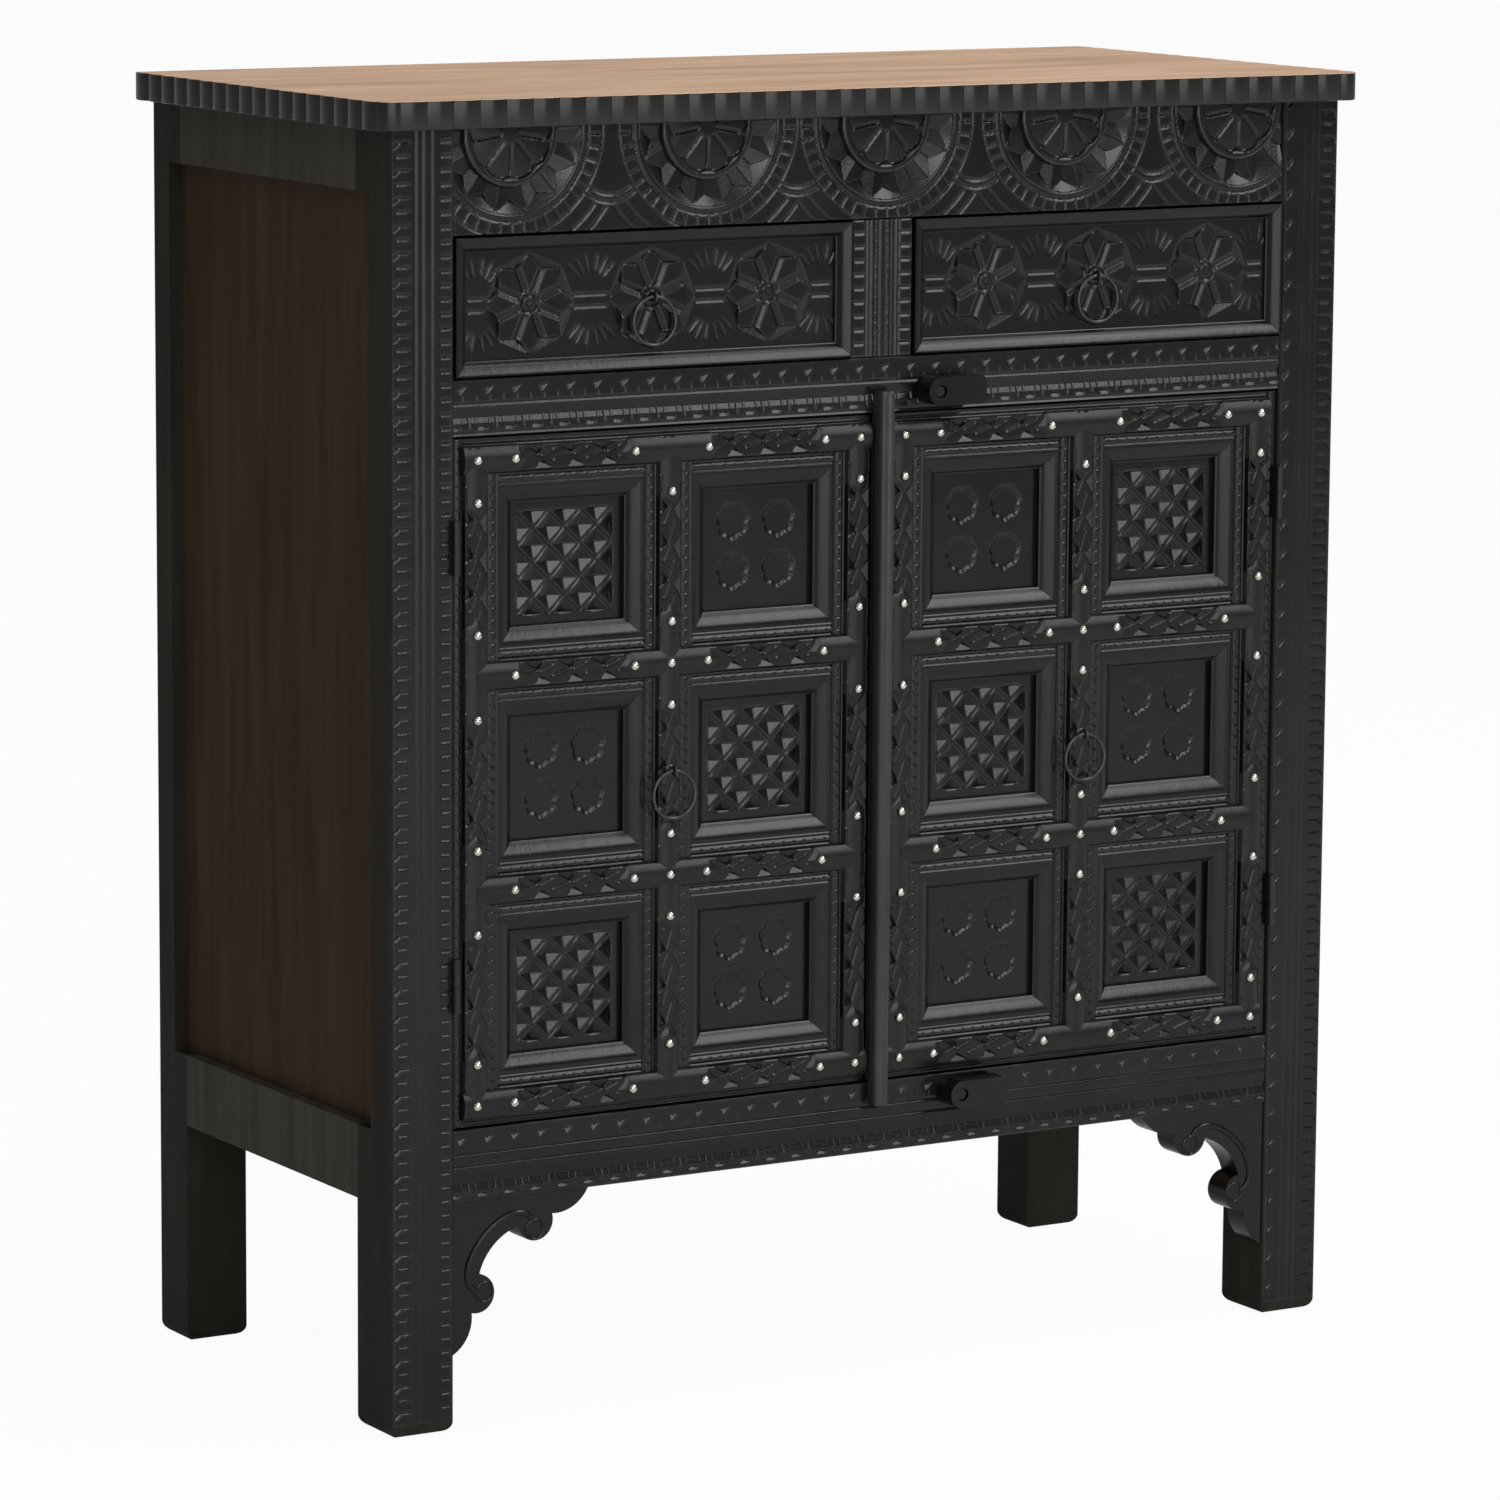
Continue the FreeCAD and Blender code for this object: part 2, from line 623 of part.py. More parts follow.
def framed_leaf(inner_edge):
    """The whole pierced leaf of a right-hand door, before it is parted into its members."""
    leaf = box(inner_edge, DOOR_OUTER, DOOR_SETBACK, DOOR_FRAME_BACK, DOOR_LOW, DOOR_HIGH)
    cuts = []
    for x0, x1, z0, z1 in panel_cells():
        cuts.append(moulded_pocket(x0, x1, z0, z1, DOOR_SETBACK, PANEL_MOULDING, DOOR_FRAME_THICKNESS))
    cuts += [leaf_box(-1, z) for z in hinge_heights()]
    return leaf.cut(cuts)


def door_stiles(leaf, inner_edge):
    """The two uprights at the edges of a door."""
    reach = PANEL_BORDER + PANEL_MOULDING
    hinge_side = box(column_x(0) - reach, DOOR_OUTER, DOOR_SETBACK, DOOR_FRAME_BACK, DOOR_LOW, DOOR_HIGH)
    meeting_side = box(inner_edge, column_x(DOOR_COLUMNS) + reach, DOOR_SETBACK, DOOR_FRAME_BACK,
                       DOOR_LOW, DOOR_HIGH)
    return Part.makeCompound([leaf.common(hinge_side), leaf.common(meeting_side)])


def rail_span(j):
    """Low and high edge of the j-th rail of a door, its mouldings included."""
    reach = PANEL_BORDER + PANEL_MOULDING
    low = DOOR_LOW if j == 0 else row_z(j) - reach
    high = DOOR_HIGH if j == DOOR_ROWS else row_z(j) + reach
    return low, high


def door_rails(leaf):
    """The rails between the stiles of a door."""
    reach = PANEL_BORDER + PANEL_MOULDING
    rails = []
    for j in range(DOOR_ROWS + 1):
        low, high = rail_span(j)
        rails.append(leaf.common(box(column_x(DOOR_COLUMNS) + reach, column_x(0) - reach,
                                     DOOR_SETBACK, DOOR_FRAME_BACK, low, high)))
    return rails


def door_muntins(leaf):
    """The short uprights between the rails of a door."""
    reach = PANEL_BORDER + PANEL_MOULDING
    pieces = []
    for i in range(1, DOOR_COLUMNS):
        for j in range(DOOR_ROWS):
            low, high = rail_span(j)[1], rail_span(j + 1)[0]
            pieces.append(leaf.common(box(column_x(i) - reach, column_x(i) + reach,
                                          DOOR_SETBACK, DOOR_FRAME_BACK, low, high)))
    return pieces


def door_panels():
    """The panels, fixed behind the openings of the right-hand door."""
    spread = DOOR_PANEL_LAP - PANEL_MOULDING
    return Part.makeCompound([
        box(x0 - spread, x1 + spread, DOOR_FRAME_BACK, DOOR_FRAME_BACK + DOOR_PANEL_THICKNESS,
            z0 - spread, z1 + spread)
        for x0, x1, z0, z1 in panel_cells()])


def backed_bar(a, b, width, height):
    """A bar with a bevelled back lying on the door frame from point a to point b, both (x, z)."""
    start = Vector(a[0], FACE_Y + DOOR_SETBACK, a[1])
    end = Vector(b[0], FACE_Y + DOOR_SETBACK, b[1])
    across = (end - start).normalize().cross(Vector(0, 1, 0)) * (width / 2)
    crown = start - Vector(0, height, 0)
    corners = [start - across, crown - across * BATTEN_CROWN_SHARE,
               crown + across * BATTEN_CROWN_SHARE, start + across]
    return flat_face(corners).extrude(end - start)


def batten_lines():
    """Start and end of every batten of the right-hand door: uprights first, then the level ones."""
    half = BATTEN_WIDTH / 2
    uprights = [((column_x(i), row_z(0) - half), (column_x(i), row_z(DOOR_ROWS) + half))
                for i in range(DOOR_COLUMNS + 1)]
    levels = [((column_x(i + 1), row_z(j)), (column_x(i), row_z(j)))
              for j in range(DOOR_ROWS + 1) for i in range(DOOR_COLUMNS)]
    return uprights, levels


def door_battens():
    """Battens over the frame: whole uprights, with level pieces coped between them."""
    uprights, levels = batten_lines()
    standing = [backed_bar(a, b, BATTEN_WIDTH, BATTEN_HEIGHT) for a, b in uprights]
    lying = [backed_bar(a, b, BATTEN_WIDTH, BATTEN_HEIGHT).cut(standing) for a, b in levels]
    return Part.makeCompound(standing + lying)


def strap_crossings():
    """Every batten crossing of the right-hand door and the arms that a strap has there."""
    for i in range(DOOR_COLUMNS + 1):
        for j in range(DOOR_ROWS + 1):
            arms = []
            arms += [(1, 0)] if i > 0 else []
            arms += [(-1, 0)] if i < DOOR_COLUMNS else []
            arms += [(0, 1)] if j < DOOR_ROWS else []
            arms += [(0, -1)] if j > 0 else []
            yield column_x(i), row_z(j), arms


def strap_arm(x, z, arm):
    """One arm of a strap: a bevelled bar with a pointed end."""
    across, up = arm
    half = BATTEN_WIDTH / 2 + STRAP_THICKNESS
    start = (x - across * half, z - up * half)
    end = (x + across * STRAP_ARM, z + up * STRAP_ARM)
    bar = backed_bar(start, end, 2 * half, BATTEN_HEIGHT + STRAP_THICKNESS)
    tip = Vector(end[0], FACE_Y + DOOR_SETBACK, end[1])
    along = Vector(across, 0, up)
    side = Vector(up, 0, -across)
    shoulder = tip - along * STRAP_POINT
    tail = tip - along * (STRAP_ARM + 2 * half)
    points = [tip, shoulder + side * half, tail + side * half, tail - side * half, shoulder - side * half]
    reach = BATTEN_HEIGHT + STRAP_THICKNESS + OVERRUN
    return bar.common(flat_face(points).extrude(Vector(0, -reach, 0)))


def door_straps():
    """Iron straps bent over the battens at every crossing: corners, tees and crosses."""
    uprights, levels = batten_lines()
    battens = [backed_bar(a, b, BATTEN_WIDTH, BATTEN_HEIGHT) for a, b in uprights + levels]
    straps = []
    for x, z, arms in strap_crossings():
        straps.append(fuse([strap_arm(x, z, arm) for arm in arms]).cut(battens))
    return Part.makeCompound(straps)


def stud_places():
    """Where the right-hand door's straps are nailed."""
    corner, cross = 2, 4
    for x, z, arms in strap_crossings():
        if len(arms) in (corner, cross):
            yield x, z
        for across, up in arms:
            yield x + across * STUD_REACH, z + up * STUD_REACH


def door_studs():
    """Nail heads that sit on the crown of the straps."""
    crown = BATTEN_CROWN - STRAP_THICKNESS
    studs = []
    for x, z in stud_places():
        foot = regular_corners(x, z, crown, STUD_RADIUS, STUD_SIDES)
        face = regular_corners(x, z, crown - STUD_HEIGHT, STUD_TOP_RADIUS, STUD_SIDES)
        studs.append(closed_solid(skin([foot, face]) + [flat_face(foot), flat_face(face)]))
    return Part.makeCompound(studs)


def meeting_strip():
    """The strip that covers the joint of the doors, carried by the right-hand one."""
    right = MEETING_LEFT + STRIP_WIDTH
    front = box(MEETING_LEFT, right, -STRIP_PROUD, -STRIP_CLEARANCE,
                DOOR_LOW - STRIP_OVERRUN, DOOR_HIGH + STRIP_OVERRUN)
    edges = [e for e in front.Edges
             if e.BoundBox.YMax < FACE_Y - STRIP_PROUD + OVERRUN and e.BoundBox.ZLength > STRIP_PROUD]
    front = front.makeFillet(STRIP_ROUND, edges)
    seat = box(MEETING_LEFT, right, -STRIP_CLEARANCE - STRIP_ROUND, DOOR_SETBACK, DOOR_LOW, DOOR_HIGH)
    return fuse([front, seat])


# Hinges

def upright_rod(z0, z1, radius):
    """A round rod on the axis of the right-hand hinges."""
    return Part.makeCylinder(radius, z1 - z0, Vector(HINGE_X, FACE_Y - KNUCKLE_PROUD, z0))


def knuckle(z0, z1):
    """An eight-sided knuckle round the axis of the right-hand hinges."""
    turns = [2 * math.pi * i / KNUCKLE_SIDES for i in range(KNUCKLE_SIDES)]
    corners = [Vector(HINGE_X + KNUCKLE_RADIUS * math.cos(t),
                      FACE_Y - KNUCKLE_PROUD + KNUCKLE_RADIUS * math.sin(t), z0) for t in turns]
    return flat_face(corners).extrude(Vector(0, 0, z1 - z0))


def hinge_leaf(sign, z):
    """A right-hand hinge leaf: sign +1 on the post with the pin, -1 on the door with the bored knuckle."""
    low, high = z - HINGE_HEIGHT / 2, z + HINGE_HEIGHT / 2
    z0, z1 = (low, z - KNUCKLE_GAP) if sign > 0 else (z, high)
    flat = leaf_box(sign, z)
    tab = box(flat.BoundBox.XMin, flat.BoundBox.XMax, -KNUCKLE_PROUD, LEAF_FRONT, z0, z1)
    leaf = fuse([flat, tab, knuckle(z0, z1)])
    if sign > 0:
        return fuse([leaf, upright_rod(z0, high, PIN_RADIUS)])
    return leaf.cut(upright_rod(low, high, PIN_RADIUS + PIN_CLEARANCE))


# Turning catches

CATCHES = {
    "top_catch": (TOP_CATCH_X, DOOR_HEAD + TOP_CATCH_RISE),
    "bottom_catch": (BOTTOM_CATCH_X, DOOR_SILL - BOTTOM_CATCH_DROP),
}


def catch(x, z):
    """A wooden bar that turns on a sunk screw, round at the pivot and relieved behind its free end."""
    half = CATCH_WIDTH / 2
    y = FACE_Y - CATCH_REACH
    end = x + CATCH_LENGTH
    outline = Part.Wire([
        Part.Arc(Vector(x, y, z + half), Vector(x - half, y, z), Vector(x, y, z - half)).toShape(),
        Part.makeLine(Vector(x, y, z - half), Vector(end, y, z - half)),
        Part.makeLine(Vector(end, y, z - half), Vector(end, y, z + half)),
        Part.makeLine(Vector(end, y, z + half), Vector(x, y, z + half)),
    ])
    bar = Part.Face(outline).extrude(Vector(0, CATCH_REACH - CATCH_CLEARANCE, 0))
    corners = [e for e in bar.Edges if e.BoundBox.XMin > end - CATCH_END_BEVEL
               and e.BoundBox.YLength > CATCH_END_BEVEL]
    bar = bar.makeChamfer(CATCH_END_BEVEL, corners)
    relief = box(x + CATCH_BOSS, end + OVERRUN, -CATCH_RELIEF, 0, z - CATCH_WIDTH, z + CATCH_WIDTH)
    hole = cylinder_y(x, z, -CATCH_REACH - OVERRUN, OVERRUN, SCREW_RADIUS + SCREW_CLEARANCE)
    counterbore = cylinder_y(x, z, -CATCH_REACH - OVERRUN, CATCH_COUNTERBORE_DEPTH - CATCH_REACH,
                             CATCH_COUNTERBORE_RADIUS)
    return bar.cut([relief, hole, counterbore])


def catch_screw(x, z, clearance=0.0):
    """The screw of a catch: its head is sunk in the bar and its shank bites the rail."""
    seat = CATCH_COUNTERBORE_DEPTH - CATCH_REACH - CATCH_CLEARANCE
    shank = cylinder_y(x, z, seat, SCREW_BITE, SCREW_RADIUS + clearance)
    head = flat_face(regular_corners(x, z, seat - SCREW_HEAD_HEIGHT, SCREW_HEAD_RADIUS, SCREW_HEAD_SIDES))
    return fuse([shank, head.extrude(Vector(0, SCREW_HEAD_HEIGHT, 0))])


# Assembly

def carcass_nodes():
    """Every piece that stands still."""
    nodes = {"top_board": top_board()}
    screws = [catch_screw(x, z, SCREW_CLEARANCE) for x, z in CATCHES.values()]
    grooves = [dust_board(), bottom_board(), divider()]
    for name, (low, high) in FRONT_RAILS.items():
        nodes[name] = cross_rail(0, FACE_THICKNESS, low, high).cut(grooves + screws)
    pieces = (("front_post", front_post()), ("rear_post", rear_post()),
              ("side_panel", side_panel()), ("bracket", bracket()))
    for name, piece in pieces:
        nodes[f"right_{name}"] = piece
        nodes[f"left_{name}"] = mirrored(piece)
    rails = [side_rail(*span) for span in SIDE_RAIL_HEIGHTS]
    nodes["side_rails"] = Part.makeCompound(rails + [mirrored(rail) for rail in rails])
    nodes["drawer_divider"] = divider()
    nodes["rear_rails"] = Part.makeCompound(
        [cross_rail(REAR_RAIL_FRONT, REAR_RAIL_THICKNESS, *span).cut(grooves) for span in REAR_RAIL_HEIGHTS])
    nodes["back_panel"] = back_panel()
    nodes["dust_board"] = dust_board()
    nodes["bottom_board"] = bottom_board()
    nodes["shelf"] = shelf()
    nodes["shelf_cleats"] = shelf_cleats()
    nodes["drawer_runners"] = Part.makeCompound(drawer_runners() + [drawer_guide()])
    leaves = [hinge_leaf(1, z) for z in hinge_heights()]
    nodes["hinge_post_leaves"] = Part.makeCompound(leaves + [mirrored(leaf) for leaf in leaves])
    nodes["catch_screws"] = Part.makeCompound([catch_screw(x, z) for x, z in CATCHES.values()])
    return nodes


def drawer_nodes():
    """The pieces of one right-hand drawer."""
    return {
        "drawer_front": drawer_front(),
        "drawer_panel": drawer_panel(),
        "drawer_sides": drawer_sides(),
        "drawer_back": drawer_back(),
        "drawer_bottom": drawer_bottom(),
        "drawer_eye": ring_eye(DRAWER_RING_X, DRAWER_RING_Z, DRAWER_PANEL_FRONT),
        "drawer_ring": ring(DRAWER_RING_X, DRAWER_RING_Z, DRAWER_PANEL_FRONT),
    }


def door_nodes(inner_edge):
    """The pieces of one right-hand door whose meeting edge stands at inner_edge."""
    leaf = framed_leaf(inner_edge)
    pull_x = column_x(DOOR_RING_COLUMN)
    pull_z = row_z(DOOR_RING_ROW) + DOOR_RING_ROW_SHARE * ROW_PITCH
    return {
        "door_stiles": door_stiles(leaf, inner_edge),
        "door_rails": Part.makeCompound(door_rails(leaf) + door_muntins(leaf)),
        "door_panels": door_panels(),
        "door_battens": door_battens(),
        "door_straps": door_straps(),
        "door_studs": door_studs(),
        "door_hinge_leaves": Part.makeCompound([hinge_leaf(-1, z) for z in hinge_heights()]),
        "door_eye": ring_eye(pull_x, pull_z, BATTEN_CROWN),
        "door_ring": ring(pull_x, pull_z, BATTEN_CROWN),
    }


def all_nodes():
    """Every node of the cabinet by name."""
    nodes = carcass_nodes()
    for name, piece in drawer_nodes().items():
        nodes[f"right_{name}"] = piece
        nodes[f"left_{name}"] = mirrored(piece)
    for name, piece in door_nodes(MEETING_LEFT).items():
        nodes[f"right_{name}"] = piece
    for name, piece in door_nodes(MEETING_GAP - MEETING_LEFT).items():
        nodes[f"left_{name}"] = mirrored(piece)
    nodes["meeting_strip"] = meeting_strip()
    for name, (x, z) in CATCHES.items():
        nodes[name] = catch(x, z)
    return nodes


def main():
    """Writes one STEP file for each node."""
    os.makedirs("parts", exist_ok=True)
    for name, shape in all_nodes().items():
        shape.exportStep(f"parts/{name}.step")


if __name__ == "__main__":
    main()
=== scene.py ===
"""Looks of a carved cabinet: two drawers over a pair of panelled doors.

Sizes are in millimetres in the frame of the solids; meshes are written in metres.
A cut is measured backwards from the surface that it is made in.
"""
import json
import logging
import math
from dataclasses import dataclass
from enum import Enum

import bpy
import numpy as np
from mathutils import Matrix, Quaternion, Vector


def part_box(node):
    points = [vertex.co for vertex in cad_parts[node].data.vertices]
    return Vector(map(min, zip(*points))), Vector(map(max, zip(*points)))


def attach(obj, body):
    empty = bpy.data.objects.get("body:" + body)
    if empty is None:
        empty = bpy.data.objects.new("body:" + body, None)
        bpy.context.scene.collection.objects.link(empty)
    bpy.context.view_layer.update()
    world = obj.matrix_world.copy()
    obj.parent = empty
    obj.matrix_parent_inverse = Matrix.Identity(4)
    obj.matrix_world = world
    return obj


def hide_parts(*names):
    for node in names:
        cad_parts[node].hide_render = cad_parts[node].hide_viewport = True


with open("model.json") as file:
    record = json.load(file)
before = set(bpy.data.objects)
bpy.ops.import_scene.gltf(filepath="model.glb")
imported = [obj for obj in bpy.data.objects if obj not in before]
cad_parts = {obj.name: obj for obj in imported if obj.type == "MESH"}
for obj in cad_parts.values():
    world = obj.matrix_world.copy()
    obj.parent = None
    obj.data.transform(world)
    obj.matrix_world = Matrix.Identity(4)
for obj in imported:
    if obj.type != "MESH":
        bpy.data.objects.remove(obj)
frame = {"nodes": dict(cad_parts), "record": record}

Array = np.ndarray
Pair = tuple[float, float]
Triple = tuple[float, float, float]
Colour = Triple
Ends = tuple[float, float, float, float]

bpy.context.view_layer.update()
MM = 0.001
RIGHTWARD, BACKWARD, UPWARD = np.eye(3)
LOG = logging.getLogger("cabinet")


class Side(Enum):
    """The left and the right half of the cabinet, with the sign of x there."""

    LEFT = -1
    RIGHT = 1

    @property
    def word(self) -> str:
        """The side's word in the names of nodes."""
        return self.name.lower()


@dataclass(frozen=True)
class Extent:
    """The box of a node in millimetres."""

    x0: float
    x1: float
    y0: float
    y1: float
    z0: float
    z1: float

    @staticmethod
    def of(node: str) -> "Extent":
        """The box of the solid with that name."""
        low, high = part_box(node)
        return Extent(*(value / MM for pair in zip(low, high) for value in pair))

    @property
    def x(self) -> float:
        """Middle of the width."""
        return (self.x0 + self.x1) / 2

    @property
    def y(self) -> float:
        """Middle of the depth."""
        return (self.y0 + self.y1) / 2

    @property
    def z(self) -> float:
        """Middle of the height."""
        return (self.z0 + self.z1) / 2


# Meshes


@dataclass
class Shell:
    """A closed surface: points in millimetres, faces in groups of equal corners, rub of each point."""

    points: Array
    faces: list[Array]
    rub: Array

    @staticmethod
    def plain(points: Array, faces: list[Array]) -> "Shell":
        """A shell with no rubbed places."""
        flat = points.reshape(-1, 3)
        return Shell(flat, faces, np.zeros(len(flat)))

    @staticmethod
    def joined(shells: list["Shell"]) -> "Shell":
        """Several shells as one, each with its point numbers moved past those before it.

        Args:
            shells: The shells.

        Returns:
            The joined shell.
        """
        starts = np.cumsum([0] + [len(s.points) for s in shells[:-1]])
        points = np.concatenate([s.points for s in shells])
        faces = [group + start for s, start in zip(shells, starts) for group in s.faces]
        return Shell(points, faces, np.concatenate([s.rub for s in shells]))

    def mirrored(self) -> "Shell":
        """The same shell on the other side of the middle plane, with its faces turned to stay outward."""
        return Shell(self.points * (-1, 1, 1), [group[:, ::-1] for group in self.faces], self.rub)


def grid_quads(rows: int, columns: int, ring_rows: bool = False, ring_columns: bool = False) -> Array:
    """Quads of a grid of points, from point (i, j) to (i, j+1), (i+1, j+1) and (i+1, j).

    Args:
        rows: Number of rows of points.
        columns: Number of points in a row.
        ring_rows: Whether the last row joins the first.
        ring_columns: Whether the last point of a row joins its first.

    Returns:
        Point numbers, four for each quad, which faces the cross product of its row and column direction.
    """
    down, along = np.arange(rows - (not ring_rows)), np.arange(columns - (not ring_columns))
    i, j = np.meshgrid(down, along, indexing="ij")
    below, beside = (i + 1) % rows, (j + 1) % columns
    corners = (i * columns + j, i * columns + beside, below * columns + beside, below * columns + j)
    return np.stack(corners, -1).reshape(-1, 4)


def loft(rings: Array) -> Shell:
    """A closed body with flat ends through rings of points.

    Args:
        rings: Points, one row for each ring, which turns left about the way the rings follow each other.

    Returns:
        The shell.
    """
    count, around, _ = rings.shape
    first = np.arange(around)
    ends = np.stack([first[::-1], first + (count - 1) * around])
    return Shell.plain(rings, [grid_quads(count, around, ring_columns=True), ends])


def circle(count: int) -> Array:
    """Points on the circle (cos a, 0, sin a), evenly spaced."""
    turn = np.linspace(0.0, 2 * np.pi, count, endpoint=False)
    return np.stack([np.cos(turn), 0 * turn, np.sin(turn)], -1)


def torus(centre: Array, across: Array, up: Array, radius: float, wire: float,
          sides: tuple[int, int]) -> Shell:
    """A round ring of wire.

    A point is centre + (radius + wire cos b)(across cos a + up sin a) + wire sin b (across x up).

    Args:
        centre: Middle of the ring.
        across: Unit direction in the ring's plane.
        up: Unit direction in that plane, square to the first.
        radius: Radius to the middle of the wire.
        wire: Radius of the wire.
        sides: Number of steps round the ring and round the wire.

    Returns:
        The shell.
    """
    a, b = np.meshgrid(*(np.linspace(0, 2 * np.pi, n, endpoint=False) for n in sides), indexing="ij")
    outward = np.cos(a)[..., None] * across + np.sin(a)[..., None] * up
    points = centre + (radius + wire * np.cos(b))[..., None] * outward
    points = points + (wire * np.sin(b))[..., None] * np.cross(across, up)
    faces = grid_quads(*sides, ring_rows=True, ring_columns=True)
    return Shell.plain(points, [faces[:, ::-1]])


def mitred_frame(x0: float, x1: float, z0: float, z1: float, inset: Array, y: Array) -> Shell:
    """A profile carried round a rectangle and mitred at its corners.

    Args:
        x0, x1, z0, z1: The rectangle.
        inset: How far inside the rectangle each profile point lies, in order round the profile.
        y: Where each profile point lies from front to back.

    Returns:
        The shell; the profile runs from the inside to the outside along its front.
    """
    x = np.stack([x0 + inset, x1 - inset, x1 - inset, x0 + inset])
    z = np.stack([z0 + inset, z0 + inset, z1 - inset, z1 - inset])
    points = np.stack([x, np.broadcast_to(y, x.shape), z], -1)
    return Shell.plain(points, [grid_quads(*x.shape, ring_rows=True, ring_columns=True)])


def bow(width: float, slopes: dict[float, float], count: int) -> tuple[Array, Array]:
    """The face of a moulding, whose depth is the sum of the tangent of its slope over its width.

    Args:
        width: How far it reaches inward.
        slopes: Its slope in degrees at shares of the width, from the outer edge to the inner one.
        count: Number of points.

    Returns:
        How far inside the outer edge each point lies and how deep, from the inside to the outside.
    """
    inset = np.linspace(0.0, width, count)
    slope = np.tan(np.radians(np.interp(inset / width, list(slopes), list(slopes.values()))))
    deep = np.concatenate([[0.0], np.cumsum(middles(slope) * np.diff(inset))])
    return inset[::-1], deep[::-1]


def middles(places: Array) -> Array:
    """The middles between neighbours."""
    return (places[1:] + places[:-1]) / 2


def ramp(value: Array, start: float, stop: float) -> Array:
    """0 up to start, 1 past stop and a straight slope between them."""
    return np.clip((value - start) / (stop - start), 0.0, 1.0)


def band(value: Array, low: float, high: float, soft: float = 1.0) -> Array:
    """1 between low and high, 0 outside, with slopes as wide as soft."""
    return ramp(value, low - soft / 2, low + soft / 2) * ramp(value, high + soft / 2, high - soft / 2)


def repeat(value: Array, first: float, pitch: float) -> Array:
    """Distance from the nearest of the marks first, first + pitch and so on, both ways."""
    return (value - first + pitch / 2) % pitch - pitch / 2


def vee(distance: Array, half: float) -> Array:
    """A V cut: 1 on its line, 0 at half its width."""
    return np.clip(1 - np.abs(distance) / half, 0.0, 1.0)


def half_round(distance: Array, half: float) -> Array:
    """A half-round: the square root of 1 - (distance / half) squared."""
    return np.sqrt(np.clip(1 - (distance / half) ** 2, 0.0, 1.0))


def groove(x: Array, z: Array, ends: Ends, half: float, taper: float = 3.0) -> Array:
    """A V cut between two points: 1 on its line, 0 at half its width, running out at each end.

    Args:
        x: Place of each point across the face.
        z: Its height.
        ends: The two points (x, z, x, z).
        half: Half the cut's width.
        taper: How long it takes to run out.

    Returns:
        The cut at each point as a share of its depth.
    """
    ax, az, bx, bz = ends
    length = math.hypot(bx - ax, bz - az)
    ux, uz = (bx - ax) / length, (bz - az) / length
    along = (x - ax) * ux + (z - az) * uz
    aside = (z - az) * ux - (x - ax) * uz
    return vee(aside, half) * ramp(np.minimum(along, length - along), 0.0, taper)


class Relief:
    """A carved board face: cuts on a grid over a rectangle, where the deepest cut wins."""

    FEWEST = 2
    RUB_REACH = 2
    RUB_SPAN = 0.6

    def __init__(self, x0: float, x1: float, z0: float, z1: float, step: float) -> None:
        """Lays the grid over the rectangle.

        Args:
            x0, x1, z0, z1: The rectangle.
            step: About how far apart the points are.
        """
        self.x = np.linspace(x0, x1, max(self.FEWEST, round((x1 - x0) / step) + 1))
        self.z = np.linspace(z0, z1, max(self.FEWEST, round((z1 - z0) / step) + 1))
        self.across, self.up = np.meshgrid(self.x, self.z)
        self.depth = np.zeros_like(self.across)

    def cut(self, depth: Array) -> None:
        """Cuts down to a depth wherever that is deeper than what is there."""
        self.depth = np.maximum(self.depth, depth)

    def stroke(self, ends: Ends, half: float, depth: float) -> None:
        """Cuts one V stroke, on the part of the grid that it reaches.

        Args:
            ends: The two points (x, z, x, z) that it runs between.
            half: Half its width.
            depth: Its depth.
        """
        columns = slice(*np.searchsorted(self.x, (min(ends[0::2]) - half, max(ends[0::2]) + half)))
        rows = slice(*np.searchsorted(self.z, (min(ends[1::2]) - half, max(ends[1::2]) + half)))
        line = groove(self.across[rows, columns], self.up[rows, columns], ends, half)
        self.depth[rows, columns] = np.maximum(self.depth[rows, columns], depth * line)

    def from_edge(self) -> Array:
        """Distance of each point from the nearest edge."""
        beside = np.minimum(self.across - self.x[0], self.x[-1] - self.across)
        return np.minimum(beside, np.minimum(self.up - self.z[0], self.z[-1] - self.up))

    def ease(self, radius: float) -> None:
        """Rounds the four edges over by a quarter circle."""
        inward = np.clip(self.from_edge() / radius, 0.0, 1.0)
        self.depth = self.depth + radius * (1 - np.sqrt(1 - (1 - inward) ** 2))

    def rubbed(self) -> Array:
        """How far each point stands above the mean of its neighbours.

        Returns:
            The rub of each point, from 0 to 1.
        """
        reach = self.RUB_REACH
        padded = np.pad(self.depth, reach, mode="edge")
        rows, columns = self.depth.shape
        span = range(2 * reach + 1)
        mean = sum(padded[i:i + rows, j:j + columns] for i in span for j in span) / len(span) ** 2
        return np.clip((mean - self.depth) / self.RUB_SPAN, 0.0, 1.0)

    def shell(self, face: float, back: float) -> Shell:
        """The board: point (x, face + cut, z) on the grid, with straight walls to a flat back.

        Args:
            face: Where the uncut face lies from front to back.
            back: Where the back lies.

        Returns:
            The shell.
        """
        rows, columns = self.depth.shape
        number = np.arange(rows * columns).reshape(rows, columns)
        rim = np.concatenate([number[0, :-1], number[:-1, -1], number[-1, :0:-1], number[:0:-1, 0]])
        front = np.stack([self.across, face + self.depth, self.up], -1).reshape(-1, 3)
        rear = front[rim] * (1, 0, 1) + (0, back, 0)
        k = np.arange(len(rim))
        after = np.roll(k, -1)
        walls = np.stack([rim[after], rim, len(front) + k, len(front) + after], -1)
        rub = np.concatenate([self.rubbed().ravel(), np.zeros(len(rim))])
        faces = [grid_quads(rows, columns), walls, (len(front) + k)[None, ::-1]]
        return Shell(np.concatenate([front, rear]), faces, rub)


# Finishes


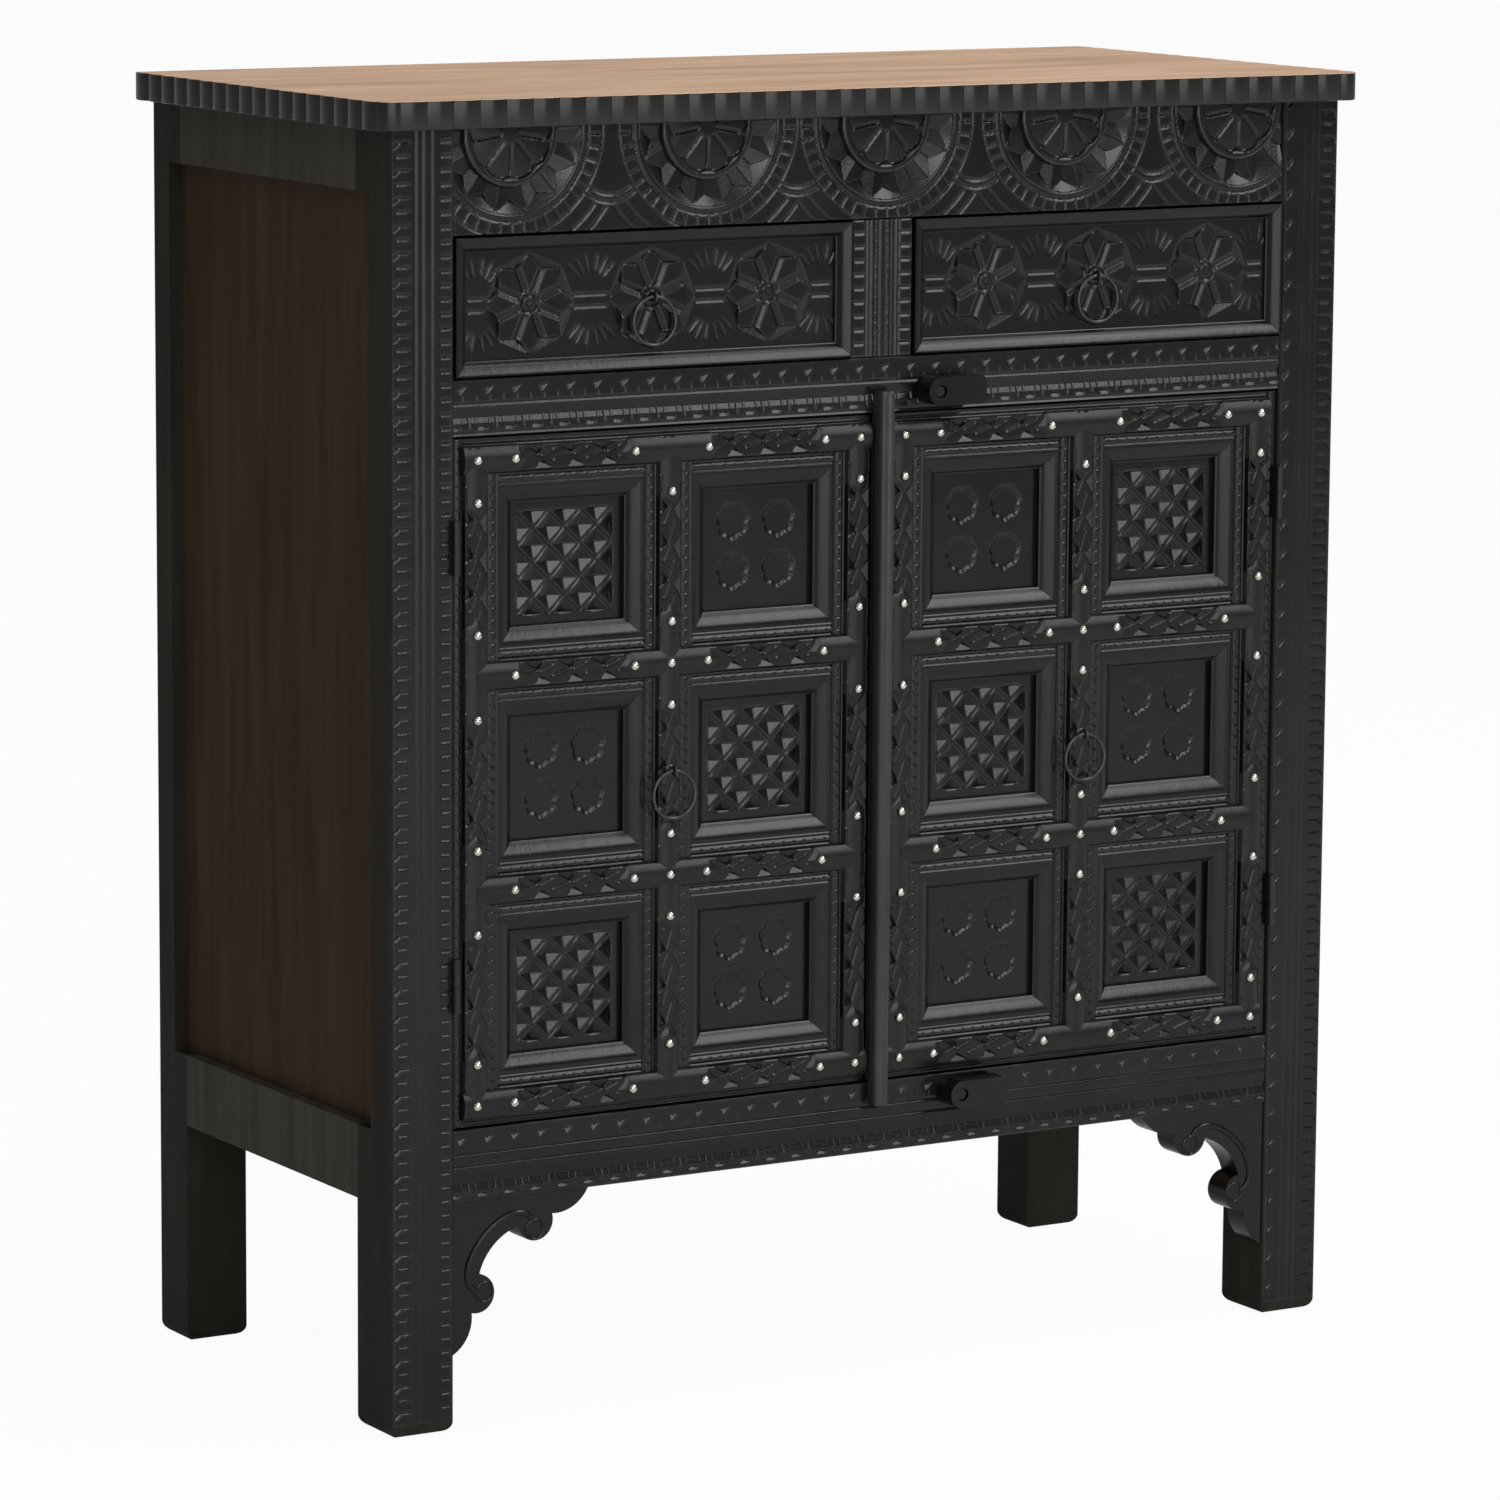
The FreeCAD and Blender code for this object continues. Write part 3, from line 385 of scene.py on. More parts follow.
@dataclass(frozen=True)
class Grain:
    """A soft noise: its cells in a metre along each axis, its finer detail and how far it is warped."""

    cells: Triple
    detail: float
    warp: float = 0.0


class Value:
    """A number that varies over a surface; sums on it add Math nodes."""

    def __init__(self, tree: "Tree", socket: bpy.types.NodeSocket) -> None:
        """Wraps an output socket of a tree."""
        self.tree = tree
        self.socket = socket

    def _math(self, operation: str, first: object, second: object, clamp: bool = False) -> "Value":
        """A Math node on two values or numbers."""
        node = self.tree.add("Math", {"operation": operation, "use_clamp": clamp}, {0: first, 1: second})
        return Value(self.tree, node.outputs[0])

    def __add__(self, other: object) -> "Value":
        """self + other."""
        return self._math("ADD", self, other)

    def __sub__(self, other: object) -> "Value":
        """self - other."""
        return self._math("SUBTRACT", self, other)

    def __rsub__(self, other: object) -> "Value":
        """other - self."""
        return self._math("SUBTRACT", other, self)

    def __mul__(self, other: object) -> "Value":
        """self * other."""
        return self._math("MULTIPLY", self, other)

    __radd__ = __add__
    __rmul__ = __mul__

    def clamped(self) -> "Value":
        """The same value kept between 0 and 1."""
        return self._math("ADD", self, 0.0, clamp=True)


def weighed(values: tuple[Value, Value], shares: Pair) -> Value:
    """The sum of two values, each times its share."""
    return values[0] * shares[0] + values[1] * shares[1]


class Tree:
    """The node tree of a material or of the world."""

    OPAQUE = 1.0
    MIX_DARK = 6
    MIX_LIGHT = 7
    MIX_RESULT = 2

    def __init__(self, owner: bpy.types.Material | bpy.types.World) -> None:
        """Starts on the owner's own shader, the one node it has beside its output.

        Args:
            owner: The material or world.
        """
        owner.use_nodes = True
        self.owner = owner
        self.nodes = owner.node_tree.nodes
        self.links = owner.node_tree.links
        self.output = next(node for node in self.nodes if node.name.endswith("Output"))
        self.shader = next(node for node in self.nodes if node != self.output)

    def add(self, kind: str, settings: dict, inputs: dict) -> bpy.types.Node:
        """Adds a node of any type.

        Args:
            kind: The node's type without its first word.
            settings: Properties that are set first.
            inputs: Numbers, colours, Values or sockets for its inputs, by name or number.

        Returns:
            The node.
        """
        node = self.nodes.new("ShaderNode" + kind)
        for key, setting in settings.items():
            setattr(node, key, setting)
        for key, given in inputs.items():
            self.feed(node.inputs[key], given)
        return node

    def feed(self, socket: bpy.types.NodeSocket, given: object) -> None:
        """Links a socket to another socket or a Value, or sets its number or colour.

        Args:
            socket: The socket.
            given: What it gets.
        """
        given = given.socket if isinstance(given, Value) else given
        if isinstance(given, bpy.types.NodeSocket):
            self.links.new(given, socket)
        elif isinstance(given, tuple) and socket.type == "RGBA":
            socket.default_value = (*given, self.OPAQUE)
        else:
            socket.default_value = given

    def noise(self, grain: Grain) -> Value:
        """Soft noise on Object coordinates.

        Args:
            grain: Its cells, detail and warp.

        Returns:
            The noise, from 0 to 1.
        """
        place = self.add("TexCoord", {}, {}).outputs["Object"]
        place = self.add("Mapping", {}, {"Vector": place, "Scale": grain.cells}).outputs[0]
        inputs = {"Vector": place, "Scale": 1.0, "Detail": grain.detail, "Distortion": grain.warp}
        return Value(self, self.add("TexNoise", {}, inputs).outputs["Fac"])

    def rub(self) -> Value:
        """How rubbed the surface is, 0 where a mesh doesn't say."""
        return Value(self, self.add("Attribute", {"attribute_name": "rub"}, {}).outputs["Fac"])

    def contrast(self, value: Value, span: Pair) -> Value:
        """Spreads a span of values over 0 to 1 and cuts off the rest."""
        inputs = {"Value": value, "From Min": span[0], "From Max": span[1]}
        return Value(self, self.add("MapRange", {"clamp": True}, inputs).outputs[0])

    def mix(self, factor: Value, dark: object, light: object) -> bpy.types.NodeSocket:
        """A colour between two colours."""
        inputs = {"Factor": factor, self.MIX_DARK: dark, self.MIX_LIGHT: light}
        return self.add("Mix", {"data_type": "RGBA"}, inputs).outputs[self.MIX_RESULT]

    def bump(self, height: Value, distance: float) -> None:
        """Roughens the surface by a height of at most distance metres."""
        node = self.add("Bump", {}, {"Height": height, "Strength": 1.0, "Distance": distance})
        self.feed(self.shader.inputs["Normal"], node.outputs[0])

    def finish(self, **sockets: object) -> bpy.types.Material | bpy.types.World:
        """Feeds the shader's sockets.

        Args:
            sockets: What each gets, named with _ for a space.

        Returns:
            The owner.
        """
        for name, given in sockets.items():
            self.feed(self.shader.inputs[name.replace("_", " ")], given)
        return self.owner


@dataclass(frozen=True)
class Paint:
    """Black paint over carved wood, rubbed grey on its edges, with brush and grain showing faintly."""

    name: str = "black_paint"
    deep: Colour = (0.0025, 0.0024, 0.0021)
    dusty: Colour = (0.0060, 0.0057, 0.0052)
    rubbed: Colour = (0.064, 0.061, 0.057)
    gloss: float = 0.275
    roughness: float = 0.17
    cloud: Grain = Grain((14.0, 14.0, 14.0), 4.0)
    grain: Grain = Grain((90.0, 90.0, 26.0), 5.0, 0.4)
    speck: Grain = Grain((420.0, 420.0, 420.0), 2.0)
    tone: Pair = (0.35, 0.7)
    tone_shares: Pair = (0.6, 0.4)
    wear: Pair = (0.35, 0.9)
    wear_cover: float = 0.35
    bump_shares: Pair = (0.7, 0.3)
    bump_height: float = 0.00025
    cloud_dulls: float = 0.12
    wear_polishes: float = 0.03

    def material(self) -> bpy.types.Material:
        """Makes the material: wear is the mesh's rub, more of it where the grain is high.

        Returns:
            The material.
        """
        tree = Tree(bpy.data.materials.new(self.name))
        cloud, grain, speck = (tree.noise(spec) for spec in (self.cloud, self.grain, self.speck))
        least, more = self.wear
        worn = (tree.rub() * (least + more * tree.contrast(grain, self.tone))).clamped()
        tone = tree.contrast(weighed((cloud, grain), self.tone_shares), self.tone)
        ground = tree.mix(tone, self.deep, self.dusty)
        tree.bump(weighed((grain, speck), self.bump_shares), self.bump_height)
        colour = tree.mix(worn * self.wear_cover, ground, self.rubbed)
        rough = self.roughness + self.cloud_dulls * cloud - self.wear_polishes * worn
        return tree.finish(Base_Color=colour, Roughness=rough, Specular_IOR_Level=self.gloss)


@dataclass(frozen=True)
class Stain:
    """Thin brown-black stain on plain planed wood with upright grain."""

    name: str = "brown_black_stain"
    deep: Colour = (0.0285, 0.0170, 0.0106)
    warm: Colour = (0.0600, 0.0360, 0.0218)
    gloss: float = 0.03
    roughness: float = 0.44
    cloud: Grain = Grain((5.0, 5.0, 3.0), 3.0)
    grain: Grain = Grain((70.0, 70.0, 5.0), 6.0, 0.6)
    pore: Grain = Grain((900.0, 900.0, 40.0), 2.0)
    tone: Pair = (0.35, 0.75)
    tone_shares: Pair = (0.65, 0.45)
    bump_shares: Pair = (0.6, 0.4)
    bump_height: float = 0.00025
    cloud_dulls: float = 0.18

    def material(self) -> bpy.types.Material:
        """Makes the material: grain and clouds give the tone, grain and pores the surface.

        Returns:
            The material.
        """
        tree = Tree(bpy.data.materials.new(self.name))
        cloud, grain, pore = (tree.noise(spec) for spec in (self.cloud, self.grain, self.pore))
        shade = tree.contrast(weighed((grain, cloud), self.tone_shares), self.tone)
        tree.bump(weighed((grain, pore), self.bump_shares), self.bump_height)
        colour = tree.mix(shade, self.deep, self.warm)
        rough = self.roughness + self.cloud_dulls * cloud
        return tree.finish(Base_Color=colour, Roughness=rough, Specular_IOR_Level=self.gloss)


@dataclass(frozen=True)
class Plank:
    """Bare wood with its grain along one axis: broad figure, fine fibres and dark pores."""

    name: str
    dark: Colour
    light: Colour
    figure: Grain
    fibre: Grain
    roughness: float = 0.5
    gloss: float = 0.35
    tone: Pair = (0.33, 0.66)
    tone_shares: Pair = (0.62, 0.38)
    pore_finer: float = 2.2
    pore_detail: float = 2.0
    pore_span: Pair = (0.62, 0.75)
    pore_cover: float = 0.5
    pore_shade: float = 0.45
    pore_sinks: float = 0.5
    bump_height: float = 0.00015
    fibre_dulls: float = 0.15

    def material(self) -> bpy.types.Material:
        """Makes the material: the pores are the peaks of a noise finer than the fibres.

        Returns:
            The material.
        """
        tree = Tree(bpy.data.materials.new(self.name))
        figure, fibre = tree.noise(self.figure), tree.noise(self.fibre)
        finer = Grain(tuple(self.pore_finer * cells for cells in self.fibre.cells), self.pore_detail)
        pore = tree.contrast(tree.noise(finer), self.pore_span)
        tone = tree.contrast(weighed((figure, fibre), self.tone_shares), self.tone)
        bare = tree.mix(tone, self.dark, self.light)
        tree.bump(fibre - self.pore_sinks * pore, self.bump_height)
        shade = tuple(self.pore_shade * channel for channel in self.dark)
        colour = tree.mix(pore * self.pore_cover, bare, shade)
        rough = self.roughness + self.fibre_dulls * fibre
        return tree.finish(Base_Color=colour, Roughness=rough, Specular_IOR_Level=self.gloss)


@dataclass(frozen=True)
class Metal:
    """Metal, bare or blackened, with a hammered and handled surface."""

    name: str
    dark: Colour
    light: Colour
    metallic: float
    roughness: float
    gloss: float = 0.4
    dent: Grain = Grain((160.0, 160.0, 160.0), 3.0)
    speck: Grain = Grain((900.0, 900.0, 900.0), 2.0)
    tone: Pair = (0.35, 0.65)
    tone_shares: Pair = (0.6, 0.4)
    bump_shares: Pair = (0.7, 0.3)
    bump_height: float = 0.0002
    speck_dulls: float = 0.18

    def material(self) -> bpy.types.Material:
        """Makes the material: dents and specks give both the tone and the surface.

        Returns:
            The material.
        """
        tree = Tree(bpy.data.materials.new(self.name))
        dent, speck = tree.noise(self.dent), tree.noise(self.speck)
        tree.bump(weighed((dent, speck), self.bump_shares), self.bump_height)
        tone = tree.contrast(weighed((dent, speck), self.tone_shares), self.tone)
        colour = tree.mix(tone, self.dark, self.light)
        rough = self.roughness + self.speck_dulls * speck
        return tree.finish(Base_Color=colour, Metallic=self.metallic, Roughness=rough,
                           Specular_IOR_Level=self.gloss)


def made_once(look: Paint | Stain | Plank | Metal) -> bpy.types.Material:
    """The material of a look, made when it is first asked for."""
    return bpy.data.materials.get(look.name) or look.material()


class Finish(Enum):
    """The record's material slots and how each is finished."""

    black_wood = Paint()
    side_wood = Stain()
    top_wood = Plank("oiled_top", (0.484, 0.293, 0.182), (0.751, 0.508, 0.346),
                     Grain((2.2, 16.0, 16.0), 4.0, 1.6), Grain((9.0, 240.0, 240.0), 6.0, 0.3))
    inside_wood = Plank("plain_inside", (0.22, 0.135, 0.078), (0.40, 0.27, 0.17),
                        Grain((2.5, 12.0, 12.0), 4.0, 1.6), Grain((10.0, 200.0, 200.0), 6.0, 0.3), 0.6)
    iron = Metal("black_iron", (0.0040, 0.0039, 0.0039), (0.0085, 0.0084, 0.0083), 0.0, 0.25, 0.265)
    stud_metal = Metal("nail_metal", (0.45, 0.417, 0.357), (0.635, 0.602, 0.530), 1.0, 0.06)


def add_piece(name: str, shell: Shell, finish: Finish, body: str, *replaced: str, crease: float = 25.0,
              look: Paint | Metal | None = None) -> None:
    """Writes a shell as a mesh in metres, dresses it and hands it to its body.

    Args:
        name: The piece's name.
        shell: Its surface.
        finish: Its finish, which is also its slot.
        body: The body it moves with.
        replaced: Solids that it stands for.
        crease: Edges sharper than so many degrees stay sharp.
        look: A look of its own, where it differs from the slot's finish.
    """
    mesh = bpy.data.meshes.new(name)
    mesh.vertices.add(len(shell.points))
    mesh.vertices.foreach_set("co", (shell.points * MM).ravel())
    corners = np.concatenate([group.ravel() for group in shell.faces])
    sizes = np.concatenate([np.full(len(group), group.shape[1]) for group in shell.faces])
    mesh.loops.add(len(corners))
    mesh.loops.foreach_set("vertex_index", corners)
    mesh.polygons.add(len(sizes))
    mesh.polygons.foreach_set("loop_start", np.cumsum(sizes) - sizes)
    mesh.update(calc_edges=True)
    mesh.attributes.new("rub", "FLOAT", "POINT").data.foreach_set("value", shell.rub)
    mesh.shade_smooth()
    mesh.set_sharp_from_angle(angle=math.radians(crease))
    mesh.materials.append(made_once(look or finish.value))
    piece = bpy.data.objects.new(name, mesh)
    bpy.context.scene.collection.objects.link(piece)
    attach(piece, body)
    if replaced:
        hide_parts(*replaced)
    LOG.info("%s: %d faces on %s", name, len(sizes), body)


# Carved boards of the carcass


@dataclass(frozen=True)
class Frieze:
    """The board under the top: half rosettes side by side, with swags and curved strokes between them.

    A rosette is a function of the radius and the turn from straight down about a point under the top edge:
    a sunk dish of petals with a scalloped rim, a smooth ring, a star that slopes inward and whose points
    stand over pockets that slope inward too, another ring and a band of dashes between two lines.
    """

    step: float = 0.8
    edge: float = 1.0
    places: tuple[float, ...] = (-330.0, -158.0, 3.0, 169.5, 336.0)
    centre_drop: float = 5.0
    petal: float = math.radians(40.0)
    petal_start: float = 8.0
    petal_reach: float = 31.0
    petal_scallop: float = 3.4
    scallop_power: float = 0.6
    vein_half: float = 2.0
    vein_deep: float = 1.1
    dish_middle: float = 0.6
    dish_fall: float = 1.8
    wall_wide: float = 1.7
    wall_deep: float = 2.4
    inner_ring: Pair = (34.0, 40.4)
    outer_ring: Pair = (61.0, 66.0)
    ring_deep: float = 1.3
    star_point: float = math.radians(26.5)
    star: Pair = (50.5, 60.0)
    star_start: float = 0.2
    star_slope: Pair = (0.15, 0.12)
    pocket_slope: float = 0.5
    lines: Pair = (67.0, 78.7)
    dashes: Pair = (68.4, 77.6)
    dash: float = math.radians(8.0)
    line_half: float = 1.5
    fine: float = 0.95
    swag_drop: float = 25.5
    swag_radii: Pair = (28.5, 34.3)
    swag_half: float = 1.6
    swag_gap: Pair = (0.5, 1.5)
    strokes: Pair = (91.5, 101.0)
    stroke_half: float = 1.8
    stroke_gap: Pair = (2.0, 4.0)

    def petals(self, relief: Relief, r: Array, turn: Array) -> None:
        """Cuts the dish: it deepens outward, has a V line between petals and ends in a scalloped wall.

        Args:
            relief: The board's face.
            r: Radius of each point about the nearest rosette.
            turn: Its turn from straight down.
        """
        scallop = np.abs(np.sin(np.pi * turn / self.petal)) ** self.scallop_power
        edge = self.petal_reach + self.petal_scallop * scallop
        vein = vee(r * np.sin(repeat(turn, 0.0, self.petal)), self.vein_half)
        vein = vein * band(r, self.petal_start, edge - self.vein_half, self.vein_half)
        dish = self.dish_middle + self.dish_fall * (r / edge) ** 2
        wall = self.wall_deep * ramp(r, edge + self.wall_wide, edge)
        relief.cut(np.where(r < edge, dish + self.vein_deep * vein, wall))

    def points(self, relief: Relief, r: Array, turn: Array) -> None:
        """Cuts the star, whose points are ridges that slope inward, and flat pockets that slope inward too.

        Args:
            relief: The board's face.
            r: Radius of each point about the nearest rosette.
            turn: Its turn from straight down.
        """
        inner, tip = self.inner_ring[1], self.outer_ring[0]
        valley, peak = self.star
        off = np.abs(repeat(turn, self.star_point / 2, self.star_point))
        edge = peak - (peak - valley) * off / (self.star_point / 2)
        inward, aside = self.star_slope
        facet = self.star_start + inward * (peak - r) + aside * r * np.sin(off)
        between = (r > inner) & (r < tip)
        relief.cut(np.where(r < edge, facet, self.pocket_slope * (tip - r)) * between)

    def rosettes(self, relief: Relief, top: float) -> Array:
        """Cuts the rosettes.

        Args:
            relief: The board's face.
            top: Height of the board's upper edge.

        Returns:
            The radius of each point about the nearest rosette.
        """
        places = np.array(self.places)
        x = relief.across - places[np.searchsorted(middles(places), relief.across)]
        down = top - self.centre_drop - relief.up
        r, turn = np.hypot(x, down), np.arctan2(x, down)
        self.petals(relief, r, turn)
        self.points(relief, r, turn)
        for low, high in (self.inner_ring, self.outer_ring):
            half = (high - low) / 2
            hollow = 1 - half_round(r - low - half, half)
            relief.cut(self.ring_deep * hollow * ((r > low) & (r < high)))
        for line in self.lines:
            relief.cut(self.fine * vee(r - line, self.line_half))
        dash = vee(r * np.sin(repeat(turn, 0.0, self.dash)), self.line_half)
        relief.cut(self.fine * dash * band(r, *self.dashes))
        return r

    def swags(self, relief: Relief, top: float, outside: Array) -> None:
        """Cuts a double arc between each two rosettes and, under it, strokes that follow them.

        Args:
            relief: The board's face.
            top: Height of the board's upper edge.
            outside: Radius of each point about the nearest rosette.
        """
        gaps = middles(np.array(self.places))
        nearest = np.searchsorted(middles(gaps), relief.across)
        down = top - self.swag_drop - relief.up
        r = np.hypot(relief.across - gaps[nearest], down)
        free = ramp(outside, *(self.lines[1] + gap for gap in self.swag_gap)) * (down > 0)
        for radius in self.swag_radii:
            relief.cut(self.fine * vee(r - radius, self.swag_half) * free)
        below = free * ramp(r, *(self.swag_radii[1] + gap for gap in self.stroke_gap))
        for radius in self.strokes:
            relief.cut(self.fine * vee(outside - radius, self.stroke_half) * below)

    def build(self) -> None:
        """Makes the board."""
        board = Extent.of("frieze_board")
        half = Extent.of("right_front_post").x0
        relief = Relief(-half, half, board.z0, board.z1, self.step)
        outside = self.rosettes(relief, board.z1)
        self.swags(relief, board.z1, outside)
        relief.ease(self.edge)
        carving = relief.shell(board.y0, board.y1)
        add_piece("frieze_carving", carving, Finish.black_wood, "carcass", "frieze_board")


@dataclass(frozen=True)
class Rail:
    """A rail over or under the doors: comma notches, lines, a bevel cut into dentils and eyebrow chips.

    Heights are measured down from its upper edge, and those of the ticks up from the notches.
    """

    node: str
    notch: float
    lines: tuple[float, ...]
    bevel: Triple
    chip: float
    pitch: float = 23.5
    steps: int = 32
    first: float = -372.0
    edge: float = 0.8
    line_deep: float = 0.779
    line_half: float = 1.9
    lean: float = math.radians(33.0)
    comma: Triple = (-4.2, -2.6, 4.2)
    comma_half: Triple = (0.4, 2.3, 0.6)
    comma_slope: float = 0.5
    comma_soft: float = 0.3
    ticks: Pair = (-8.5, -4.0)
    tick_soft: float = 2.0
    tick_half: float = 0.9
    tick_deep: float = 0.45
    hollow: float = 1.6
    slot_deep: float = 0.4
    slot_past: float = 0.5
    long_half: float = 1.3
    long_more: float = 1.5
    long_past: float = 4.5
    chip_shift: float = 0.75
    chip_half: Pair = (4.7, 1.5)
    chip_deep: float = 1.5
    chip_slope: float = 1.6
    chip_rim: Pair = (1.1, 0.9)

    def commas(self, relief: Relief, down: Array) -> None:
        """Cuts leaning drops, deepest along their upper side, with faint ticks under and between them.

        Args:
            relief: The rail's face.
            down: How far each point lies under the upper edge.
        """
        x, z = repeat(relief.across, self.first, self.pitch), self.notch - down
        along = x * math.cos(self.lean) + z * math.sin(self.lean)
        aside = z * math.cos(self.lean) - x * math.sin(self.lean)
        half = np.interp(along, self.comma, self.comma_half)
        inside = ramp(np.abs(aside), half + self.comma_soft, half - self.comma_soft)
        inside = inside * band(along, self.comma[0], self.comma[2])
        relief.cut(self.comma_slope * (aside + half) * inside)
        tick = vee(repeat(relief.across, self.first, self.pitch / 2), self.tick_half)
        relief.cut(self.tick_deep * tick * band(z, *self.ticks, self.tick_soft))

    def dentils(self, relief: Relief, down: Array) -> None:
        """Cuts a hollow that ends in a bevel facing up, slots through the bevel, and the chips under it.

        Every other slot is longer; a chip is half an ellipse, cut deeper towards its upper side.

        Args:
            relief: The rail's face.
            down: How far each point lies under the upper edge.
        """
        start, top, low = self.bevel
        hollow = np.interp(down, (start, top, low), (0.0, self.hollow, 0.0))
        slot = vee(repeat(relief.across, self.first, self.pitch / 2), self.tick_half)
        slot = slot * band(down, top - self.slot_past, low + self.slot_past)
        long = vee(repeat(relief.across, self.first + self.pitch / 4, self.pitch), self.long_half)
        long = long * band(down, top, low + self.long_past)
        relief.cut(hollow + self.slot_deep * np.maximum(slot, self.long_more * long))
        wide, high = self.chip_half
        across = repeat(relief.across, self.first + self.chip_shift * self.pitch, self.pitch)
        inside = ramp(np.hypot(across / wide, (down - self.chip) / high), *self.chip_rim)
        slope = ramp(down, self.chip + self.chip_slope, self.chip - self.chip_slope)
        relief.cut(self.chip_deep * slope * inside)

    def build(self) -> None:
        """Makes the rail."""
        board = Extent.of(self.node)
        half = Extent.of("right_front_post").x0
        relief = Relief(-half, half, board.z0, board.z1, self.pitch / self.steps)
        down = board.z1 - relief.up
        self.commas(relief, down)
        self.dentils(relief, down)
        for line in self.lines:
            relief.cut(self.line_deep * vee(down - line, self.line_half))
        relief.ease(self.edge)
        carving = relief.shell(board.y0, board.y1)
        add_piece(f"{self.node}_carving", carving, Finish.black_wood, "carcass", self.node)


@dataclass(frozen=True)
class Uprights:
    """The front posts and the upright between the drawers: dentil strips beside flutes.

    Places across a post are measured from its inner edge, those across the upright from its middle.
    """

    step: float = 0.9
    proud: float = 1.1
    foot: float = 9.5
    edge: float = 0.8
    fine: float = 0.95
    flutes: tuple[float, ...] = (33.0, 26.9, 19.2)
    flute_deep: float = 0.475
    flute_half: float = 2.6
    hook_strip: Pair = (36.3, 50.8)
    hook_pitch: float = 20.7
    hook_faint: float = 0.55
    drop: Ends = (52.0, -4.6, 45.6, 1.0)
    drop_deep: float = 1.5
    drop_half: float = 2.1
    drop_taper: float = 2.0
    bar_insets: tuple[Pair, Pair] = ((2.0, 1.0), (1.0, 0.0))
    bar_deep: float = 0.8
    bar_half: float = 1.4
    tick_strip: Pair = (0.8, 11.0)
    tick_pitch: float = 10.8
    tick_half: float = 1.8
    tick_inset: float = 1.0
    tick_soft: float = 1.5
    comma_pitch: float = 24.4
    comma_slant: float = 0.8
    comma_deep: float = 1.5
    comma_half: float = 2.7
    comma_inset: float = 2.5
    divider_edge: float = 0.9
    divider_lines: tuple[float, ...] = (3.2, 7.2, 11.2)
    divider_strip: Pair = (15.0, 26.0)
    divider_half: float = 1.4
    divider_tick_half: float = 1.5
    mill_pitch: float = 4.0
    mill_half: float = 1.0
    mill_deep: float = 0.665

    def hooks(self, relief: Relief, x: Array, deep: float) -> None:
        """Cuts the outer strip: level bars, every other one with a slanting drop at its outer end.

        Args:
            relief: The post's face.
            x: Place of each point across the post.
            deep: How deep a plain cut is there.
        """
        low, high = self.hook_strip
        hook = repeat(relief.up, 0.0, self.hook_pitch)
        plain = repeat(relief.up, self.hook_pitch / 2, self.hook_pitch)
        relief.cut(self.drop_deep * deep * groove(x, hook, self.drop, self.drop_half, self.drop_taper))
        for row, (outer, inner) in zip((hook, plain), self.bar_insets):
            bar = groove(x, row, (high - outer, 0.0, low - inner, 0.0), self.bar_half)
            relief.cut(self.bar_deep * deep * bar)

    def post_relief(self, commas: bool) -> Relief:
        """The carving of a right-hand post.

        Args:
            commas: Whether its inner strip has slanting commas, and fainter hooks, or plain ticks.

        Returns:
            The carved face.
        """
        post = Extent.of("right_front_post")
        relief = Relief(post.x0 + self.edge, post.x1 - self.edge / 2, self.foot, post.z1, self.step)
        x, z = relief.across - post.x0, relief.up
        for line in self.flutes:
            relief.cut(self.flute_deep * vee(x - line, self.flute_half))
        self.hooks(relief, x, self.fine * (self.hook_faint if commas else 1.0))
        low, high = self.tick_strip
        if commas:
            slant = repeat(z, 0.0, self.comma_pitch) - self.comma_slant * (x - (low + high) / 2)
            inside = band(x, low + self.comma_inset, high - self.comma_inset, self.comma_inset)
            relief.cut(self.comma_deep * self.fine * vee(slant, self.comma_half) * inside)
        else:
            tick = vee(repeat(z, 0.0, self.tick_pitch), self.tick_half)
            relief.cut(self.fine * tick * band(x, low + self.tick_inset, high, self.tick_soft))
        relief.ease(self.proud)
        return relief

    def divider(self, board: Extent) -> Relief:
        """The carving of the upright between the drawers, the same on both sides of its middle.

        Args:
            board: The upright's box.

        Returns:
            The carved face.
        """
        low, high = Extent.of("mid_rail").z1, Extent.of("frieze_board").z0
        relief = Relief(board.x0, board.x1, low, high, self.step)
        x = np.abs(relief.across)
        for line in (*self.divider_lines, self.divider_strip[0]):
            relief.cut(self.fine * vee(x - line, self.divider_half))
        tick = vee(repeat(relief.up, low, self.tick_pitch), self.divider_tick_half)
        relief.cut(self.fine * tick * band(x, *self.divider_strip))
        mill = vee(repeat(relief.up, low, self.mill_pitch), self.mill_half)
        relief.cut(self.mill_deep * mill * band(x, *self.divider_lines[:2]))
        relief.ease(self.divider_edge)
        return relief

    def build(self) -> None:
        """Makes the skins of both posts and the upright."""
        face = Extent.of("right_front_post").y0
        for side in Side:
            shell = self.post_relief(side is Side.RIGHT).shell(face - self.proud, face + self.proud)
            shell = shell if side is Side.RIGHT else shell.mirrored()
            add_piece(f"{side.word}_post_carving", shell, Finish.black_wood, "carcass")
        board = Extent.of("drawer_divider")
        carving = self.divider(board).shell(board.y0, board.y1)
        add_piece("divider_carving", carving, Finish.black_wood, "carcass", "drawer_divider")


